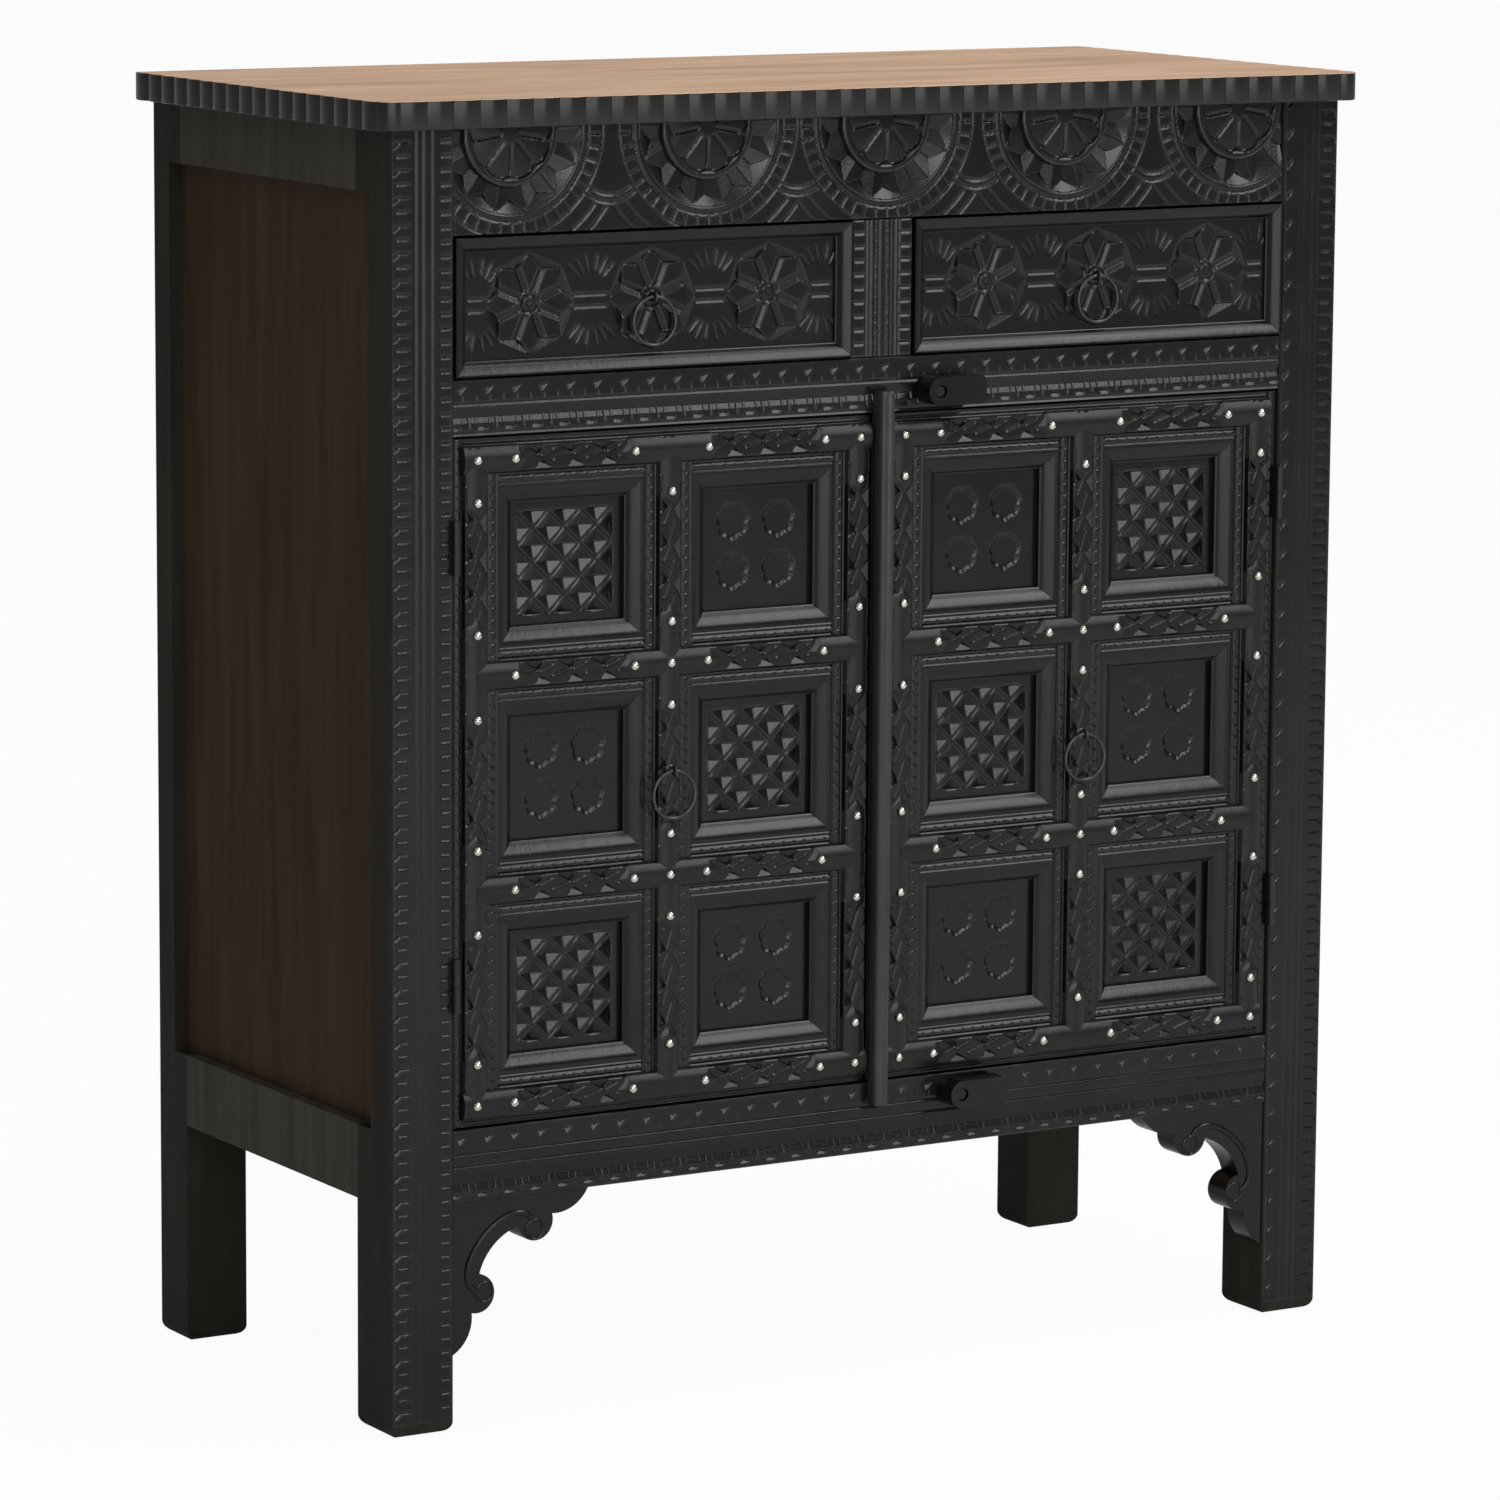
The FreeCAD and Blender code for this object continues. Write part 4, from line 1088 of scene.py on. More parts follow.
@dataclass(frozen=True)
class Top:
    """The plank top: convex reeds round three edges with rounded corners, black, and a bare upper face.

    The outline runs from the back round the front to the back; a reed bows out as a parabola.
    """

    corner: float = 20.0
    pitch: float = 22.5
    reed: float = 2.6
    points_per_reed: int = 9
    shift: int = -1
    profile: tuple[Pair, ...] = ((0.0, 0.9), (0.5, 0.2), (1.2, 0.0), (21.6, 0.0))
    bare_inset: float = 0.35
    bare_depth: float = 0.6
    bare_chamfer: float = 0.1
    look: Paint = Paint("edge_paint", (0.0045, 0.0043, 0.0037), (0.0106, 0.0098, 0.0088), gloss=0.35)

    def outline(self, board: Extent) -> tuple[Array, Array]:
        """The reeded outline, turning left seen from above.

        Args:
            board: The top's box.

        Returns:
            Points along it and their outward directions.
        """
        side = board.y1 - board.y0 - self.corner
        front = board.x1 - board.x0 - 2 * self.corner
        arc = self.corner * math.pi / 2
        total = 2 * side + 2 * arc + front
        reeds = round(total / self.pitch)
        run = np.linspace(0.0, total, reeds * self.points_per_reed + 1)
        stations = np.cumsum([0.0, side, arc, front, arc, side])
        left, right, fore = board.x0 + self.corner, board.x1 - self.corner, board.y0 + self.corner
        turn = np.interp(run, stations, (0.0, 0.0, math.pi / 2, math.pi / 2, math.pi, math.pi))
        outward = np.stack([-np.cos(turn), -np.sin(turn)], -1)
        core_x = np.interp(run, stations, (left, left, left, right, right, right))
        core_y = np.interp(run, stations, (board.y1, fore, fore, fore, fore, board.y1))
        middle = total / reeds * (0.5 + self.shift / self.points_per_reed)
        within = repeat(run, middle, total / reeds) / (total / reeds)
        reach = self.corner - self.reed * (2 * within) ** 2
        return np.stack([core_x, core_y], -1) + outward * reach[:, None], outward

    def body(self, board: Extent, levels: tuple[Pair, ...]) -> Shell:
        """A body with the reeded outline.

        Args:
            board: The top's box.
            levels: Height above the board's underside and inset of each ring, from the lowest up.

        Returns:
            The shell.
        """
        points, outward = self.outline(board)
        rings = [np.column_stack([points - inset * outward, np.full(len(points), board.z0 + height)])
                 for height, inset in levels]
        return loft(np.stack(rings))

    def build(self) -> None:
        """Makes the black edge and the bare face."""
        board = Extent.of("top_board")
        add_piece("top_edge", self.body(board, self.profile), Finish.black_wood, "carcass", "top_board",
                  look=self.look)
        thick, inset, chamfer = board.z1 - board.z0, self.bare_inset, self.bare_chamfer
        levels = ((thick - self.bare_depth, inset), (thick - chamfer, inset), (thick, inset + chamfer))
        add_piece("top_face", self.body(board, levels), Finish.top_wood, "carcass")


# Drawers


MOULDING_CREASE = 12.0
DRAWER_BOW = {0.0: 9.0, 0.12: 16.0, 0.42: 27.0, 0.60: 36.0, 0.72: 46.0, 0.92: 55.0, 0.94: 27.0, 1.0: 27.0}
DOOR_BOW = {0.0: 3.0, 0.16: 11.0, 0.40: 22.0, 0.64: 31.0, 0.80: 40.0, 0.92: 47.0, 0.94: 27.0, 1.0: 27.0}


@dataclass(frozen=True)
class Drawer:
    """A drawer's front: a moulded frame round a panel carved with flowers, double lines and fans.

    A flower has flat petals at the level of the panel, parted by V grooves, with three-sided pockets
    between their tips.
    """

    side: Side
    step: float = 0.9
    rim: float = 0.8
    chamfer: float = 0.5
    moulding: float = 10.6
    sunk: float = 11.0
    rounding: int = 17
    lap: float = 0.6
    proud: float = 1.9
    fine: float = 0.95
    flowers: tuple[float, ...] = (100.0, 204.0, 311.0)
    flower_rise: float = 0.5
    petals: int = 8
    petal_span: Triple = (9.5, 28.5, 38.0)
    deep: float = 2.0
    groove_half: float = 3.9
    groove_start: Pair = (-1.0, 0.5)
    run_out: float = 0.8
    pocket_more: float = 1.35
    pocket_soft: float = 0.4
    boss: float = 6.6
    boss_deep: float = 1.6
    boss_half: float = 1.9
    dot_deep: float = 0.76
    dot_half: float = 1.6
    lines: Pair = (-4.8, 4.8)
    line_half: float = 1.6
    line_lap: float = 1.0
    line_margin: float = 2.0
    fan: Pair = (14.0, 29.5)
    fan_drop: float = 7.0
    fan_turns: tuple[float, ...] = (-43.0, -28.0, -11.0, 11.0, 28.0, 43.0)
    fan_leans: Pair = (-10.0, 28.0)
    fan_depths: Pair = (0.38, 1.05)
    fan_half: float = 1.7

    def frame(self, front: Extent) -> Shell:
        """The moulded frame: a flat rim, a bow and a short wall down to the panel.

        Args:
            front: The box of the drawer's front.

        Returns:
            The shell.
        """
        inward, deep = bow(self.moulding, DRAWER_BOW, self.rounding)
        inner, thick = self.rim + self.moulding, front.y1 - front.y0
        inset = np.concatenate([[inner], self.rim + inward, [self.chamfer, 0.0, 0.0, inner]])
        y = front.y0 + np.concatenate([[self.sunk], deep, [0.0, self.chamfer, thick, thick]])
        return mitred_frame(front.x0, front.x1, front.z0, front.z1, inset, y)

    def flower(self, relief: Relief, x: float, z: float) -> None:
        """Cuts one flower: V grooves between its petals, and pockets that slope inward between their tips.

        Args:
            relief: The panel's face.
            x, z: The flower's middle.
        """
        across, up = relief.across - x, relief.up - z
        r, turn = np.hypot(across, up), np.arctan2(up, across)
        sector = 2 * math.pi / self.petals
        off_groove = repeat(turn, sector / 2, sector)
        along, aside = r * np.cos(off_groove), np.abs(r * np.sin(off_groove))
        start, stop, tip = self.petal_span
        cut = vee(aside, self.groove_half) * ramp(along, *(start + past for past in self.groove_start))
        relief.cut(self.deep * cut * ramp(along, stop + self.run_out, stop))
        chord = tip * math.cos(sector / 2)
        spread = tip * math.sin(sector / 2) * ramp(along, stop, chord)
        pocket = ramp(along, chord + self.run_out, stop)
        pocket = pocket * ramp(aside, spread + self.pocket_soft, spread - self.pocket_soft)
        relief.cut(self.pocket_more * self.deep * pocket * (along > stop))
        relief.cut(self.boss_deep * vee(r - self.boss, self.boss_half))
        relief.cut(self.dot_deep * vee(r, self.dot_half))

    def fans(self, relief: Relief, x: float, z: float) -> None:
        """Cuts the strokes over and under a double line, spread from a point; those leaning left are faint.

        Args:
            relief: The panel's face.
            x, z: The middle of the double line.
        """
        near, far = self.fan
        for angle in self.fan_turns:
            dx, dz = math.sin(math.radians(angle)), math.cos(math.radians(angle))
            for sign in (-1, 1):
                foot = z + sign * self.fan_drop
                ends = (x + near * dx, foot + sign * near * dz, x + far * dx, foot + sign * far * dz)
                relief.stroke(ends, self.fan_half, np.interp(sign * angle, self.fan_leans, self.fan_depths))

    def panel(self, front: Extent) -> Relief:
        """The carving of the whole panel.

        Args:
            front: The box of the drawer's front.

        Returns:
            The carved face.
        """
        edge = self.rim + self.moulding - self.lap
        relief = Relief(front.x0 + edge, front.x1 - edge, front.z0 + edge, front.z1 - edge, self.step)
        z = front.z + self.flower_rise
        centres = sorted(self.side.value * place for place in self.flowers)
        for x in centres:
            self.flower(relief, x, z)
        reach = self.petal_span[2] - self.line_lap
        starts = [relief.x[0] + self.line_margin] + [x + reach for x in centres]
        stops = [x - reach for x in centres] + [relief.x[-1] - self.line_margin]
        for start, stop in zip(starts, stops):
            for line in self.lines:
                relief.stroke((start, z + line, stop, z + line), self.line_half, self.fine)
            self.fans(relief, (start + stop) / 2, z)
        return relief

    def build(self) -> None:
        """Makes the front."""
        body, wood = f"{self.side.word}_drawer", Finish.black_wood
        front, board = Extent.of(f"{body}_front"), Extent.of(f"{body}_panel")
        moulding = self.frame(front)
        add_piece(f"{body}_moulding", moulding, wood, body, f"{body}_front", crease=MOULDING_CREASE)
        carving = self.panel(front).shell(board.y0 - self.proud, board.y1)
        add_piece(f"{body}_carving", carving, wood, body, f"{body}_panel")


# Doors


class Panel(Enum):
    """What a door panel is carved with."""

    DIAMONDS = "sunk pyramids"
    FLOWERS = "sunk flowers"


@dataclass(frozen=True)
class Dentils:
    """How a dentil strip is cut: its two lines as shares of its width, and the depth of lines and ticks."""

    lines: Pair
    line_deep: float
    tick_deep: float


@dataclass(frozen=True)
class Door:
    """A door: carved panels in mouldings, dentil strips round them, roped battens, straps and nails."""

    side: Side
    columns: int = 2
    rows: int = 3
    border: float = 22.3
    moulding: float = 13.0
    moulding_lift: float = 0.25
    moulding_lap: float = 1.2
    moulding_seat: float = 3.0
    sunk: float = 11.0
    rounding: int = 17
    field_step: float = 0.85
    field_proud: float = 5.5
    field_lap: float = 0.8
    cell: Pair = (27.7, 26.4)
    cells: float = 3.0
    cell_deep: float = 3.6
    cell_land: float = 0.19
    ridge_deep: Pair = (0.75, 0.45)
    ridge_half: float = 1.2
    bloom: float = 15.4
    bloom_lobes: int = 7
    bloom_bow: float = 0.15
    bloom_spread: Pair = (41.2, 39.1)
    bloom_lift: float = 2.0
    bloom_deep: float = 1.5
    bloom_wall: float = 2.6
    strip_proud: float = 1.2
    strip_sole: float = 1.0
    strip_edge: float = 0.4
    strip_line_half: float = 1.6
    strip_gap: float = 0.3
    strip_inset: float = 1.4
    leaf_gap: float = 0.6
    lattice_gap: float = 0.4
    meeting_gap: float = 1.0
    level_strip: Dentils = Dentils((0.20, 0.72), 1.15, 0.3)
    upright_strip: Dentils = Dentils((0.18, 0.80), 0.7, 0.6)
    tick_pitch: float = 9.4
    tick_steps: int = 10
    tick_half: float = 1.3
    batten: float = 20.0
    batten_proud: float = 6.0
    batten_rim: float = 0.985
    batten_flat: float = 0.95
    batten_points: int = 25
    batten_sole: float = 1.0
    batten_crease: float = 18.0
    arch_power: float = 30.0
    arch_root: float = 0.55
    weave_pitch: float = 28.9
    weave_proud: float = 4.8
    low_chip: Triple = (-8.4, 0.0, 13.2)
    high_chip: Triple = (-16.0, -2.5, 3.0)
    chip: Pair = (7.3, 2.7)
    chip_start: float = 0.15
    chip_soft: float = 0.3
    strokes: tuple[Ends, ...] = ((-2.0, 1.2, 12.5, 7.2), (8.5, -2.7, 28.0, 3.6))
    stroke_deep: float = 1.1
    stroke_half: float = 1.7
    strap_thick: float = 1.0
    strap_thinner: float = 0.6
    strap_flat: float = 0.88
    strap_points: int = 19
    strap_tilt: float = math.radians(33.0)
    strap_edge: float = 0.35
    strap_shares: tuple[tuple[float, float, int], ...] = ((0.0, 0.2, 8), (0.25, 0.75, 4), (0.8, 1.0, 8))
    strap_foot: float = 0.8
    strap_sole: float = 0.5
    arm: float = 46.5
    point: float = 10.5
    point_slope: float = 0.40
    nail_reach: float = 32.5
    nail: Pair = (3.9, 3.3)
    nail_sunk: float = 0.4
    nail_sides: int = 12
    nail_rise: tuple[float, ...] = (-0.25, 0.0, 0.33, 0.62, 0.84, 0.97)
    nail_width: tuple[float, ...] = (0.92, 1.0, 0.93, 0.76, 0.5, 0.2)
    nail_crease: float = 70.0

    @property
    def body(self) -> str:
        """The door's body, whose name also starts those of its solids and pieces."""
        return f"{self.side.word}_door"

    @property
    def face(self) -> float:
        """Where the frame's face lies from front to back."""
        return Extent.of(f"{self.body}_stiles").y0

    def column_lines(self) -> Array:
        """Middles of the upright battens from left to right."""
        box = Extent.of(f"{self.body}_battens")
        return np.linspace(box.x0 + self.batten / 2, box.x1 - self.batten / 2, self.columns + 1)

    def row_lines(self) -> Array:
        """Middles of the level battens from bottom to top."""
        box = Extent.of(f"{self.body}_battens")
        return np.linspace(box.z0 + self.batten / 2, box.z1 - self.batten / 2, self.rows + 1)

    def openings(self) -> list[tuple[float, float, float, float, Panel]]:
        """The openings of the lattice, whose carving alternates like a chessboard.

        Returns:
            The rim of each panel (x0, x1, z0, z1) and its carving.
        """
        x, z, border = self.column_lines(), self.row_lines(), self.border
        first = 0 if self.side is Side.LEFT else 1
        kinds = tuple(Panel)
        return [(x[i] + border, x[i + 1] - border, z[j] + border, z[j + 1] - border,
                 kinds[(i + j + first) % len(kinds)])
                for i in range(self.columns) for j in range(self.rows)]

    def diamonds(self, relief: Relief, x: float, z: float) -> None:
        """Cuts sunk pyramids on crossing diagonals: deepest inside each diamond, with a flat land between.

        Args:
            relief: The panel's face.
            x, z: The panel's middle.
        """
        width, height = self.cell
        across, up = (relief.across - x) / width, (relief.up - z) / height
        reach = 2 * np.maximum(np.abs(repeat(across + up, 0.5, 1.0)), np.abs(repeat(across - up, 0.5, 1.0)))
        inside = np.ones_like(reach)
        for place, size in ((relief.across - x, width), (relief.up - z, height)):
            inside = inside * band(place, -size * self.cells / 2, size * self.cells / 2)
        slope = np.clip(1 - self.cell_land - reach, 0.0, 1.0) / (1 - self.cell_land)
        relief.cut(self.cell_deep * slope * inside)
        for crossing, deep in zip((across - up, across + up), self.ridge_deep):
            ridge = repeat(crossing, 0.0, 1.0) * width * height / math.hypot(width, height)
            relief.cut(deep * vee(ridge, self.ridge_half) * inside)

    def blooms(self, relief: Relief, x: float, z: float) -> None:
        """Cuts four sunk flowers: the rim bows out in equal lobes round the turn, one straight down.

        Args:
            relief: The panel's face.
            x, z: The panel's middle.
        """
        wide, high = self.bloom_spread
        for dx in (-wide / 2, wide / 2):
            for dz in (-high / 2, high / 2):
                across = relief.across - x - dx
                up = relief.up - z - dz - self.bloom_lift
                lobe = np.abs(np.cos(self.bloom_lobes / 2 * np.arctan2(across, -up)))
                rim = self.bloom * (1 - self.bloom_bow + self.bloom_bow * lobe)
                relief.cut(self.bloom_deep * ramp(np.hypot(across, up), rim, rim - self.bloom_wall))

    def fields(self) -> Shell:
        """All carved panels.

        Returns:
            The shell.
        """
        shells = []
        box = Extent.of(f"{self.body}_panels")
        edge = self.moulding - self.field_lap
        for x0, x1, z0, z1, kind in self.openings():
            relief = Relief(x0 + edge, x1 - edge, z0 + edge, z1 - edge, self.field_step)
            carve = self.diamonds if kind is Panel.DIAMONDS else self.blooms
            carve(relief, (x0 + x1) / 2, (z0 + z1) / 2)
            shells.append(relief.shell(box.y0 - self.field_proud, box.y1))
        return Shell.joined(shells)

    def mouldings(self) -> Shell:
        """A round moulding in every opening: a bow from the rim inward and a short wall down to the panel.

        Returns:
            The shell.
        """
        inward, deep = bow(self.moulding, DOOR_BOW, self.rounding)
        inset = np.concatenate([[self.moulding], inward, [-self.moulding_lap, -self.moulding_lap]])
        y = self.face - self.moulding_lift + np.concatenate([[self.sunk], deep, [0.0, self.moulding_seat]])
        return Shell.joined([mitred_frame(*rim, inset, y) for *rim, _ in self.openings()])

    def strip(self, x0: float, x1: float, z0: float, z1: float) -> Shell:
        """A dentil strip between a batten and a moulding: two lines along it and ticks between them.

        Args:
            x0, x1, z0, z1: Its rectangle.

        Returns:
            The shell.
        """
        relief = Relief(x0, x1, z0, z1, self.tick_pitch / self.tick_steps)
        if x1 - x0 > z1 - z0:
            along, aside, width, cuts = relief.across, relief.up - z0, z1 - z0, self.level_strip
        else:
            along, aside, width, cuts = relief.up, relief.across - x0, x1 - x0, self.upright_strip
        for share in cuts.lines:
            relief.cut(cuts.line_deep * vee(aside - share * width, self.strip_line_half))
        ticks = vee(repeat(along, 0.0, self.tick_pitch), self.tick_half)
        relief.cut(cuts.tick_deep * ticks * band(aside, *(share * width for share in cuts.lines)))
        relief.ease(self.strip_edge)
        return relief.shell(self.face - self.strip_proud, self.face + self.strip_sole)

    def strips(self) -> Shell:
        """The four strips round each opening and those along the outer edges of the lattice.

        Returns:
            The shell.
        """
        inset = self.strip_inset
        reach = self.border - (self.batten / 2 + self.strip_gap)
        shells = []
        for x0, x1, z0, z1, _ in self.openings():
            low, high = z0 - reach, z1 + reach
            rectangles = ((x0 - reach, x0 - inset, low, high), (x1 + inset, x1 + reach, low, high),
                          (x0 - inset, x1 + inset, low, z0 - inset),
                          (x0 - inset, x1 + inset, z1 + inset, high))
            shells += [self.strip(*rectangle) for rectangle in rectangles]
        leaf, lattice = Extent.of(f"{self.body}_stiles"), Extent.of(f"{self.body}_battens")
        wide, close = self.leaf_gap, self.lattice_gap
        if self.side is Side.LEFT:
            outer = (leaf.x0 + wide, lattice.x0 - close)
            level = (lattice.x0, leaf.x1 - self.meeting_gap)
        else:
            outer = (lattice.x1 + close, leaf.x1 - wide)
            level = (Extent.of("meeting_strip").x1 + wide, lattice.x1)
        shells.append(self.strip(*outer, leaf.z0 + wide, leaf.z1 - wide))
        shells.append(self.strip(*level, leaf.z0 + close, lattice.z0 - close))
        shells.append(self.strip(*level, lattice.z1 + close, leaf.z1 - close))
        return Shell.joined(shells)

    def weave(self, s: Array, v: Array) -> Array:
        """Cut of the roped pattern: three-sided chips along both edges and slanting strokes between them.

        A chip is a plane, level with the edge and deepest at the tip that it has near the middle line.

        Args:
            s: Place along the batten.
            v: Place across it from its middle line.

        Returns:
            The depth of the cut.
        """
        tall, deep = self.chip
        cut = np.zeros_like(s)
        for sign, (first, tip, last) in ((-1, self.low_chip), (1, self.high_chip)):
            inward = self.batten / 2 - sign * v
            place = repeat(s, (first + last) / 2, self.weave_pitch) + (first + last) / 2
            side = np.interp(place, (first, tip, last), (0.0, tall, 0.0))
            plane = self.chip_start + deep / tall * inward
            cut = np.maximum(cut, plane * ramp(inward, side + self.chip_soft, side - self.chip_soft))
        for ends in self.strokes:
            middle = (ends[0] + ends[2]) / 2
            place = repeat(s, middle, self.weave_pitch) + middle
            cut = np.maximum(cut, self.stroke_deep * groove(place, v, ends, self.stroke_half))
        return cut

    def bar(self, start: Array, along: Array, length: float) -> Shell:
        """A roped batten: rings a millimetre apart across it, each a carved arch over a flat sole.

        The arch's height at t from -1 to 1 across it is a root of 1 - a high power of t.

        Args:
            start: Where its middle line starts, on the frame's face.
            along: Unit direction of that line.
            length: Its length.

        Returns:
            The shell.
        """
        half, rim, flat = self.batten / 2, self.batten_rim, self.batten_flat
        s = np.linspace(0.0, length, round(length) + 1)
        t = np.concatenate([[-1.0, -rim], np.linspace(-flat, flat, self.batten_points), [rim, 1.0]])
        s_grid, t_grid = np.meshgrid(s, t, indexing="ij")
        turn = -1 if along[2] else 1
        carved = self.weave_proud - self.weave(turn * (s_grid - length / 2), -half * t_grid)
        arch = (1 - np.abs(t_grid) ** self.arch_power) ** self.arch_root
        crown = np.minimum(self.weave_proud * arch, carved)
        points = start + s_grid[..., None] * along + (half * t_grid)[..., None] * np.cross(BACKWARD, along)
        points = points - crown[..., None] * BACKWARD
        sole = points[:, [-1, 0]] + self.batten_sole * BACKWARD
        return loft(np.concatenate([points, sole], 1)[:, ::-1])

    def battens(self) -> Shell:
        """The upright battens and the level ones between them.

        Returns:
            The shell.
        """
        x, z = self.column_lines(), self.row_lines()
        half, face = self.batten / 2, self.face
        shells = [self.bar(np.array((c, face, z[0] - half)), UPWARD, z[-1] - z[0] + 2 * half) for c in x]
        shells += [self.bar(np.array((a + half, face, r)), RIGHTWARD, b - a - 2 * half)
                   for a, b in zip(x, x[1:]) for r in z]
        return Shell.joined(shells)

    def crossings(self) -> list[tuple[float, float, list[tuple[int, int]]]]:
        """The crossings of the lattice.

        Returns:
            The place (x, z) of each and the directions of the arms that its strap has.
        """
        found = []
        for i, x in enumerate(self.column_lines()):
            for j, z in enumerate(self.row_lines()):
                arms = [(1, 0)] * (i < self.columns) + [(-1, 0)] * (i > 0)
                arms += [(0, 1)] * (j < self.rows) + [(0, -1)] * (j > 0)
                found.append((x, z, arms))
        return found

    def strap_section(self, v: Array, half: float, crown: float) -> Array:
        """Height across a strap: a circular arc, and beyond its flat share a bevel down to the edge.

        Args:
            v: Place across the strap from its middle line.
            half: Half its width.
            crown: Its height in the middle.

        Returns:
            The height.
        """
        flat = self.strap_flat * half
        radius = flat / math.sin(self.strap_tilt)
        arc = crown - radius + np.sqrt(radius ** 2 - np.clip(np.abs(v), 0.0, flat) ** 2)
        return arc * np.interp(np.abs(v), (flat, half), (1.0, self.strap_edge))

    def strap_bar(self, x: float, z: float, along: Array, back: float, ahead: float) -> Shell:
        """A half-round bar over a batten; a long end is cut to a point by two facets, a short one square.

        The height is the arch across the bar or, nearer to a pointed end, the slope that rises from its
        outline.

        Args:
            x, z: The crossing.
            along: Unit direction of the bar.
            back: How far it reaches against that direction.
            ahead: How far it reaches along it.

        Returns:
            The shell.
        """
        half = self.batten / 2 + self.strap_thick
        crown = self.batten_proud + self.strap_thick * (1 - self.strap_thinner * along[2])
        flat = np.linspace(-self.strap_flat, self.strap_flat, self.strap_points)
        t = np.concatenate([[-1.0], flat, [1.0]])
        point = self.point * np.abs(t)
        first = -back + point * (back > half)
        last = ahead - point * (ahead > half)
        share = np.concatenate([np.linspace(*stretch) for stretch in self.strap_shares])
        s = first + share[:, None] * (last - first)
        foot = self.weave_proud - self.strap_foot
        limit = np.where(back > half, (s - first) * self.point_slope + foot, crown)
        limit = np.minimum(limit, np.where(ahead > half, (last - s) * self.point_slope + foot, crown))
        height = np.minimum(self.strap_section(t * half, half, crown), limit)
        base = np.array((x, self.face, z)) + s[..., None] * along
        base = base + (half * t)[None, :, None] * np.cross(BACKWARD, along)
        top = base - height[..., None] * BACKWARD
        sole = base[:, [-1, 0]] + self.strap_sole * BACKWARD
        return loft(np.concatenate([top, sole], 1)[:, ::-1])

    def straps(self) -> Shell:
        """A level and an upright bar over every crossing; a level bar also covers the outside of a corner.

        Returns:
            The shell.
        """
        shells = []
        for x, z, arms in self.crossings():
            corner = len(arms) == 2
            for way, lack in (((1, 0), corner * (self.batten / 2 + self.strap_thick)), ((0, 1), 0.0)):
                reach = [self.arm if (sign * way[0], sign * way[1]) in arms else lack for sign in (-1, 1)]
                shells.append(self.strap_bar(x, z, np.array((way[0], 0.0, way[1]), float), *reach))
        return Shell.joined(shells)

    def nails(self) -> Shell:
        """Domed nail heads: each is a stack of rings whose widths and heights follow a quarter ellipse.

        Returns:
            The shell.
        """
        places = []
        for x, z, arms in self.crossings():
            places += [(x, z)] if len(arms) in (2, 4) else []
            places += [(x + a * self.nail_reach, z + b * self.nail_reach) for a, b in arms]
        radius, height = self.nail
        crown = self.face - self.batten_proud - self.strap_thick + self.nail_sunk
        head = radius * np.array(self.nail_width)[:, None, None] * circle(self.nail_sides)
        head = head - height * np.array(self.nail_rise)[:, None, None] * BACKWARD
        return Shell.joined([loft(head + (x, crown, z)) for x, z in places])

    def build(self) -> None:
        """Makes the door's pieces."""
        body, wood = self.body, Finish.black_wood
        add_piece(f"{body}_fields", self.fields(), wood, body, f"{body}_panels")
        add_piece(f"{body}_mouldings", self.mouldings(), wood, body, crease=MOULDING_CREASE)
        add_piece(f"{body}_borders", self.strips(), wood, body)
        add_piece(f"{body}_roped_battens", self.battens(), wood, body, f"{body}_battens",
                  crease=self.batten_crease)
        add_piece(f"{body}_iron_straps", self.straps(), Finish.iron, body, f"{body}_straps")
        add_piece(f"{body}_nail_heads", self.nails(), Finish.stud_metal, body, f"{body}_studs",
                  crease=self.nail_crease)


@dataclass(frozen=True)
class MeetingStrip:
    """The strip over the joint of the doors: lengthwise reeds on its front and a low cap at each end."""

    reeds: int = 2
    reed: float = 0.7
    points: int = 37
    shoulder: float = 3.4
    shoulder_share: float = 0.2
    cap: float = 1.2
    back_gap: float = 0.5
    tongue_lap: float = 1.0
    look: Paint = Paint("worn_paint", (0.0193, 0.0185, 0.0169), (0.0372, 0.0356, 0.0332))

    def section(self, box: Extent, back: float) -> Array:
        """The reeded section: bows of a sine, falling to both sides by a quarter of an ellipse.

        Args:
            box: The strip's box.
            back: Where its back lies.

        Returns:
            Its points (x, y).
        """
        across = np.linspace(0.0, 1.0, self.points)
        swell = self.reed * np.abs(np.sin(self.reeds * np.pi * across))
        share = self.shoulder_share
        beside = np.clip(np.abs(across - 0.5) - (0.5 - share), 0.0, share)
        fall = self.shoulder * (1 - half_round(beside, share))
        front = np.stack([box.x0 + across * (box.x1 - box.x0), box.y0 + self.reed - swell + fall], -1)
        return np.concatenate([front, [(box.x1, back), (box.x0, back)]])

    def build(self) -> None:
        """Makes the strip, its section carried up between two caps, and the tongue that seats it."""
        box, seat = Extent.of("meeting_strip"), Extent.of("right_door_stiles")
        back = Extent.of("right_front_post").y0 - self.back_gap
        ring = self.section(box, back)
        cap = self.cap
        rings = []
        for z, inset in ((box.z0, cap), (box.z0 + cap, 0.0), (box.z1 - cap, 0.0), (box.z1, cap)):
            y = np.minimum(ring[:, 1] + inset, back)
            rings.append(np.column_stack([ring[:, 0], y, np.full(len(ring), z)]))
        front = back - self.tongue_lap
        foot = np.array([(box.x0, front), (box.x1, front), (box.x1, seat.y0), (box.x0, seat.y0)])
        tongue = np.stack([np.column_stack([foot, np.full(len(foot), z)]) for z in (seat.z0, seat.z1)])
        shell = Shell.joined([loft(np.stack(rings)), loft(tongue)])
        add_piece("meeting_reeds", shell, Finish.black_wood, "right_door", "meeting_strip", look=self.look)


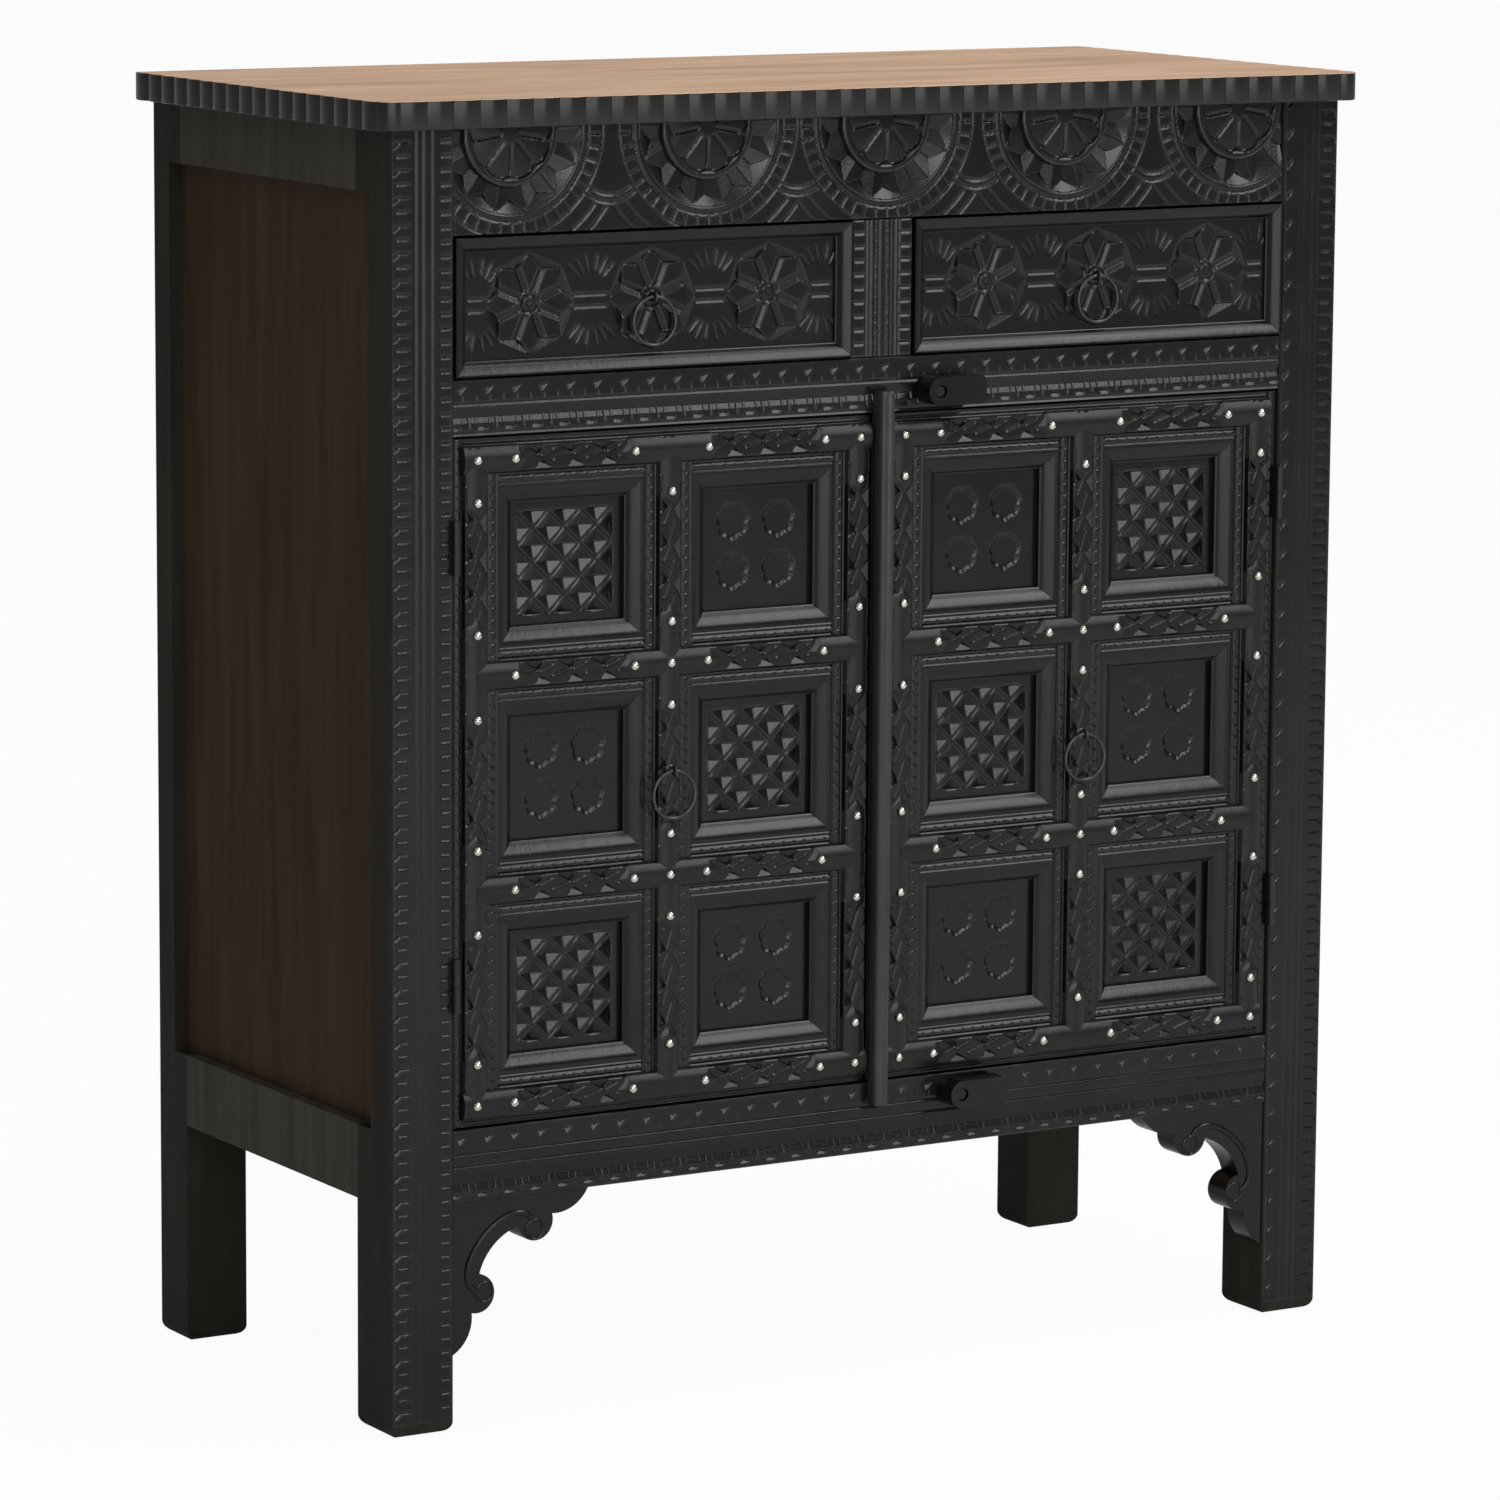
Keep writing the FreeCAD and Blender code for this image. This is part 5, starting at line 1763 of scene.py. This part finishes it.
@dataclass(frozen=True)
class Pull:
    """A ring that hangs in a wire eye on a small round plate."""

    owner: str
    ring_sides: tuple[int, int] = (48, 12)
    ring_fuller: float = 1.03
    eye_sides: tuple[int, int] = (24, 10)
    stem: float = 1.2
    plate: Pair = (4.4, 0.9)
    plate_seat: float = 0.6
    plate_wall: float = 0.5
    plate_rim: float = 0.8
    plate_sides: int = 16
    crease: float = 50.0
    look: Metal = Metal("handled_iron", (0.010, 0.0098, 0.0095), (0.022, 0.0215, 0.021), 0.0, 0.16, 0.55)

    def ring(self) -> Shell:
        """The ring.

        Returns:
            The shell.
        """
        box = Extent.of(f"{self.owner}_ring")
        wire = (box.y1 - box.y0) / 2 * self.ring_fuller
        radius = (box.x1 - box.x0) / 2 - wire
        return torus(np.array((box.x, box.y, box.z)), RIGHTWARD, UPWARD, radius, wire, self.ring_sides)

    def eye(self) -> Shell:
        """The eye, a ring of wire, on a stem that stands on a low round plate.

        Returns:
            The shell.
        """
        box = Extent.of(f"{self.owner}_eye")
        wire, outer = (box.x1 - box.x0) / 2, (box.z1 - box.z0) / 2
        middle = np.array((box.x, box.y0 + outer, box.z))
        loop = torus(middle, BACKWARD, UPWARD, outer - wire, wire, self.eye_sides)
        wide, thick = self.plate
        reach = box.y1 - box.y0 - 2 * outer + wire
        levels = ((self.plate_seat, wide), (-thick * self.plate_wall, wide),
                  (-thick, wide * self.plate_rim), (-thick, self.stem), (-reach, self.stem))
        seat, disc = np.array((box.x, box.y1, box.z)), circle(self.plate_sides)
        plate = loft(np.stack([seat + radius * disc + y * BACKWARD for y, radius in levels]))
        return Shell.joined([loop, plate])

    def build(self) -> None:
        """Makes the ring on its own body and the eye with its plate on the owner's."""
        owner = self.owner
        add_piece(f"{owner}_round_ring", self.ring(), Finish.iron, f"{owner}_pull", f"{owner}_ring",
                  crease=self.crease, look=self.look)
        add_piece(f"{owner}_wire_eye", self.eye(), Finish.iron, owner, f"{owner}_eye",
                  crease=self.crease, look=self.look)


# Brackets


@dataclass(frozen=True)
class Bracket:
    """A scroll bracket: its board, the raised rib along its arch and the round eyes of its scrolls.

    Shares are of the board's width, measured from its inner upper corner outward and down.
    """

    side: Side
    proud: float = 4.5
    decimals: int = 3
    front_depth: float = 1.0
    arch_shares: tuple[Pair, ...] = ((0.60, 0.185), (0.44, 0.115), (0.235, 0.235), (0.115, 0.44),
                                     (0.185, 0.60))
    rib: float = 2.6
    rib_sunk: float = 0.4
    rib_points: int = 49
    rib_sides: int = 12
    rib_runs: tuple[float, ...] = (0.0, 0.06, 0.94, 1.0)
    rib_swells: tuple[float, ...] = (0.55, 1.0, 1.0, 0.55)
    eye_shares: tuple[Pair, ...] = ((0.605, 0.235), (0.235, 0.605))
    eye_radius: float = 7.6
    eye_wire: float = 1.2
    eye_sunk: float = 0.2
    eye_sides: tuple[int, int] = (28, 8)
    crease: float = 45.0

    @property
    def node(self) -> str:
        """The bracket's solid."""
        return f"{self.side.word}_bracket"

    def board(self) -> Shell:
        """The solid's own surface, welded, with its front brought forward.

        Returns:
            The shell.
        """
        mesh = frame["nodes"][self.node].data
        mesh.calc_loop_triangles()
        points, faces = np.empty(3 * len(mesh.vertices)), np.empty(3 * len(mesh.loop_triangles), int)
        mesh.vertices.foreach_get("co", points)
        mesh.loop_triangles.foreach_get("vertices", faces)
        rounded = np.round(points.reshape(-1, 3) / MM, self.decimals)
        welded, number = np.unique(rounded, axis=0, return_inverse=True)
        welded[:, 1] -= self.proud * (welded[:, 1] < welded[:, 1].min() + self.front_depth)
        return Shell.plain(welded, [number.ravel()[faces].reshape(-1, 3)])

    def placed(self, shares: Array, sunk: float) -> Array:
        """Points on the board's front.

        Args:
            shares: Their places as shares of the width, outward and down.
            sunk: How far they lie behind the front.

        Returns:
            The points.
        """
        box = Extent.of(self.node)
        reach = box.x1 - box.x0
        inner = box.x1 if self.side is Side.RIGHT else box.x0
        x = inner - self.side.value * shares[:, 0] * reach
        y = np.full_like(x, box.y0 - self.proud + sunk)
        return np.stack([x, y, box.z1 - shares[:, 1] * reach], -1)

    def arch(self) -> Shell:
        """The rib: a round section, thinner at its ends, along the polynomial through the arch's shares.

        Returns:
            The shell.
        """
        shares = np.array(self.arch_shares)
        knots = np.linspace(0.0, 1.0, len(shares))
        run = np.linspace(0.0, 1.0, self.rib_points)
        weights = [np.prod([(run - other) / (knot - other) for other in knots if other != knot], 0)
                   for knot in knots]
        curve = sum(share * weight[:, None] for share, weight in zip(shares, weights))
        path = self.placed(curve, self.rib_sunk)
        tangent = np.gradient(path, axis=0)
        tangent /= np.linalg.norm(tangent, axis=1, keepdims=True)
        beside = np.cross(tangent, BACKWARD)
        around = np.linspace(0.0, 2 * np.pi, self.rib_sides, endpoint=False)[:, None]
        swell = self.rib * np.interp(run, self.rib_runs, self.rib_swells)[:, None, None]
        return loft(path[:, None] + swell * (np.cos(around) * beside[:, None] + np.sin(around) * BACKWARD))

    def build(self) -> None:
        """Makes the board with its rib and eyes."""
        eyes = [torus(centre, RIGHTWARD, UPWARD, self.eye_radius, self.eye_wire, self.eye_sides)
                for centre in self.placed(np.array(self.eye_shares), self.eye_sunk)]
        shell = Shell.joined([self.board(), self.arch(), *eyes])
        add_piece(f"{self.node}_scrolls", shell, Finish.black_wood, "carcass", self.node,
                  crease=self.crease)


# Studio


@dataclass(frozen=True)
class Lamp:
    """A rectangular soft lamp, hung at a distance along a direction from the point that it faces."""

    name: str
    aim: Triple
    way: Triple
    distance: float
    size: Pair
    watts: float
    lean: float = 0.0

    def hang(self) -> None:
        """Hangs the lamp, leaning by an angle in its own plane."""
        data = bpy.data.lights.new(self.name, "AREA")
        data.shape = "RECTANGLE"
        data.size, data.size_y = self.size
        data.energy = self.watts
        lamp = bpy.data.objects.new(self.name, data)
        aim = Vector(self.aim)
        place = aim + self.distance * Vector(self.way)
        lamp.location = place
        turned = (aim - place).to_track_quat("-Z", "Y") @ Quaternion((0.0, 0.0, 1.0), self.lean)
        lamp.rotation_euler = turned.to_euler()
        bpy.context.scene.collection.objects.link(lamp)


@dataclass(frozen=True)
class Studio:
    """The camera at the photograph's place, a pale floor and soft lamps; lengths here are in metres."""

    focal_pixels: float = 6732.519
    image_pixels: float = 1500.0
    sensor: float = 36.0
    clip_end: float = 200.0
    yaw: float = math.radians(31.02118)
    pitch: float = math.radians(9.15758)
    roll: float = math.radians(0.41113)
    eye: Triple = (-2.783639, -4.623155, 1.346601)
    floor_half: float = 40.0
    floor_colour: Colour = (0.90, 0.90, 0.90)
    floor_cloud: Grain = Grain((1.5, 1.5, 1.5), 3.0)
    floor_shade: float = 0.985
    floor_roughness: float = 0.9
    floor_glow: float = 0.95
    mirror_glow: float = 0.12
    white: Colour = (1.0, 1.0, 1.0)
    ambient: float = 0.105
    sky: float = 0.86
    sky_spread: float = math.radians(120.0)
    middle: Triple = (0.0, -0.19, 0.55)
    level: Triple = (0.0, -0.19, 0.53)

    def camera(self) -> None:
        """Places the camera: it looks along the yaw, down by the pitch, and is turned by the roll."""
        data = bpy.data.cameras.new("camera")
        data.sensor_width = self.sensor
        data.lens = self.focal_pixels / self.image_pixels * self.sensor
        data.clip_end = self.clip_end
        flat = math.cos(self.pitch)
        ahead = Vector((math.sin(self.yaw) * flat, math.cos(self.yaw) * flat, -math.sin(self.pitch)))
        right = Vector((math.cos(self.yaw), -math.sin(self.yaw), 0.0))
        up = right.cross(ahead)
        right, up = (math.cos(self.roll) * right + math.sin(self.roll) * up,
                     math.cos(self.roll) * up - math.sin(self.roll) * right)
        camera = bpy.data.objects.new("camera", data)
        turned = Matrix((right, up, -ahead)).transposed().to_4x4()
        camera.matrix_world = Matrix.Translation(self.eye) @ turned
        bpy.context.scene.collection.objects.link(camera)
        bpy.context.scene.camera = camera

    def whiteness(self, tree: Tree) -> Value:
        """How far plain white covers what is lit: mostly for the camera, less in mirrors and through glass.

        Args:
            tree: The tree of the floor or the world.

        Returns:
            The share of white.
        """
        path = tree.add("LightPath", {}, {}).outputs
        seen = Value(tree, path["Is Camera Ray"])
        mirrored = Value(tree, path["Is Glossy Ray"]) + Value(tree, path["Is Transmission Ray"])
        return (seen * self.floor_glow + mirrored.clamped() * self.mirror_glow).clamped()

    def floor(self) -> None:
        """Lays the floor."""
        half = self.floor_half
        corners = [(-half, -half, 0.0), (half, -half, 0.0), (half, half, 0.0), (-half, half, 0.0)]
        mesh = bpy.data.meshes.new("floor")
        mesh.from_pydata(corners, [], [tuple(range(len(corners)))])
        tree = Tree(bpy.data.materials.new("pale_floor"))
        cloud = tree.noise(self.floor_cloud)
        shade = tuple(self.floor_shade * channel for channel in self.floor_colour)
        material = tree.finish(Base_Color=tree.mix(cloud, shade, self.floor_colour),
                               Roughness=self.floor_roughness, Specular_IOR_Level=0.0)
        glow = tree.add("Emission", {}, {"Color": self.white, "Strength": 1.0}).outputs[0]
        covered = tree.add("MixShader", {}, {0: self.whiteness(tree), 1: tree.shader.outputs[0], 2: glow})
        tree.feed(tree.output.inputs["Surface"], covered.outputs[0])
        mesh.materials.append(material)
        floor = bpy.data.objects.new("floor", mesh)
        bpy.context.scene.collection.objects.link(floor)

    def world(self) -> None:
        """Makes the world: dim white light, plain white where it is seen."""
        tree = Tree(bpy.data.worlds.new("studio"))
        strength = self.ambient + (1.0 - self.ambient) * self.whiteness(tree)
        bpy.context.scene.world = tree.finish(Color=self.white, Strength=strength)

    def sun(self) -> None:
        """Hangs a broad soft sky lamp above, which lights the floor alike everywhere."""
        data = bpy.data.lights.new("sky", "SUN")
        data.energy = self.sky
        data.angle = self.sky_spread
        bpy.context.scene.collection.objects.link(bpy.data.objects.new("sky", data))

    def lamps(self) -> list[Lamp]:
        """The soft lamps.

        Returns:
            Two softboxes and an overhead lamp on the cabinet's middle, and a long low window.
        """
        return [
            Lamp("left softbox", self.middle, way=(-0.14, -0.884, 0.446), distance=5.0, size=(3.0, 1.3),
                 watts=93.0, lean=math.radians(25.0)),
            Lamp("right softbox", self.middle, way=(0.526, -0.63, 0.57), distance=5.0, size=(1.2, 3.3),
                 watts=90.0, lean=math.radians(-33.0)),
            Lamp("overhead", self.middle, way=(0.526, -0.10, 0.845), distance=5.0, size=(2.4, 2.4),
                 watts=54.0),
            Lamp("window", self.level, way=(-0.2164, -0.9763, 0.0), distance=5.8, size=(6.0, 1.0),
                 watts=64.0),
        ]

    def build(self) -> None:
        """Sets the whole studio."""
        bpy.context.scene.view_settings.view_transform = "Standard"
        self.camera()
        self.floor()
        self.world()
        self.sun()
        for lamp in self.lamps():
            lamp.hang()


DARK_STAIN = Stain("dark_stain", (0.0128, 0.0115, 0.0091), (0.0276, 0.0246, 0.0195), 0.05)
RAIL_STAIN = Stain("rail_stain", (0.0300, 0.0273, 0.0215), (0.0637, 0.0573, 0.0455), 0.05)
POSTS = ("left_rear_post", "right_rear_post", "left_front_post", "right_front_post")
SPECIAL_LOOKS = {"catch_screws": Finish.iron.value, "side_rails": RAIL_STAIN,
                 **dict.fromkeys(POSTS, DARK_STAIN)}


def dress_solids() -> None:
    """Gives every solid the finish of its slot, or a look of its own."""
    slots = {part["node"]: part["material_slot"] for part in frame["record"]["subparts"]}
    for name, solid in frame["nodes"].items():
        solid.data.materials.clear()
        look = SPECIAL_LOOKS.get(name, Finish[slots[name]].value)
        solid.data.materials.append(made_once(look))


def main() -> None:
    """Builds the studio and every sub-assembly in order."""
    logging.basicConfig(level=logging.INFO, format="%(name)s: %(message)s")
    Studio().build()
    dress_solids()
    Top().build()
    Frieze().build()
    Rail("mid_rail", notch=8.3, lines=(18.7, 41.2), bevel=(21.5, 28.6, 33.6), chip=37.4).build()
    Rail("bottom_rail", notch=8.6, lines=(19.3, 28.7), bevel=(33.5, 42.6, 48.0), chip=52.4).build()
    Uprights().build()
    for side in Side:
        Drawer(side).build()
        Door(side).build()
        Bracket(side).build()
        Pull(f"{side.word}_door").build()
        Pull(f"{side.word}_drawer").build()
    MeetingStrip().build()


if __name__ == "__main__":
    main()
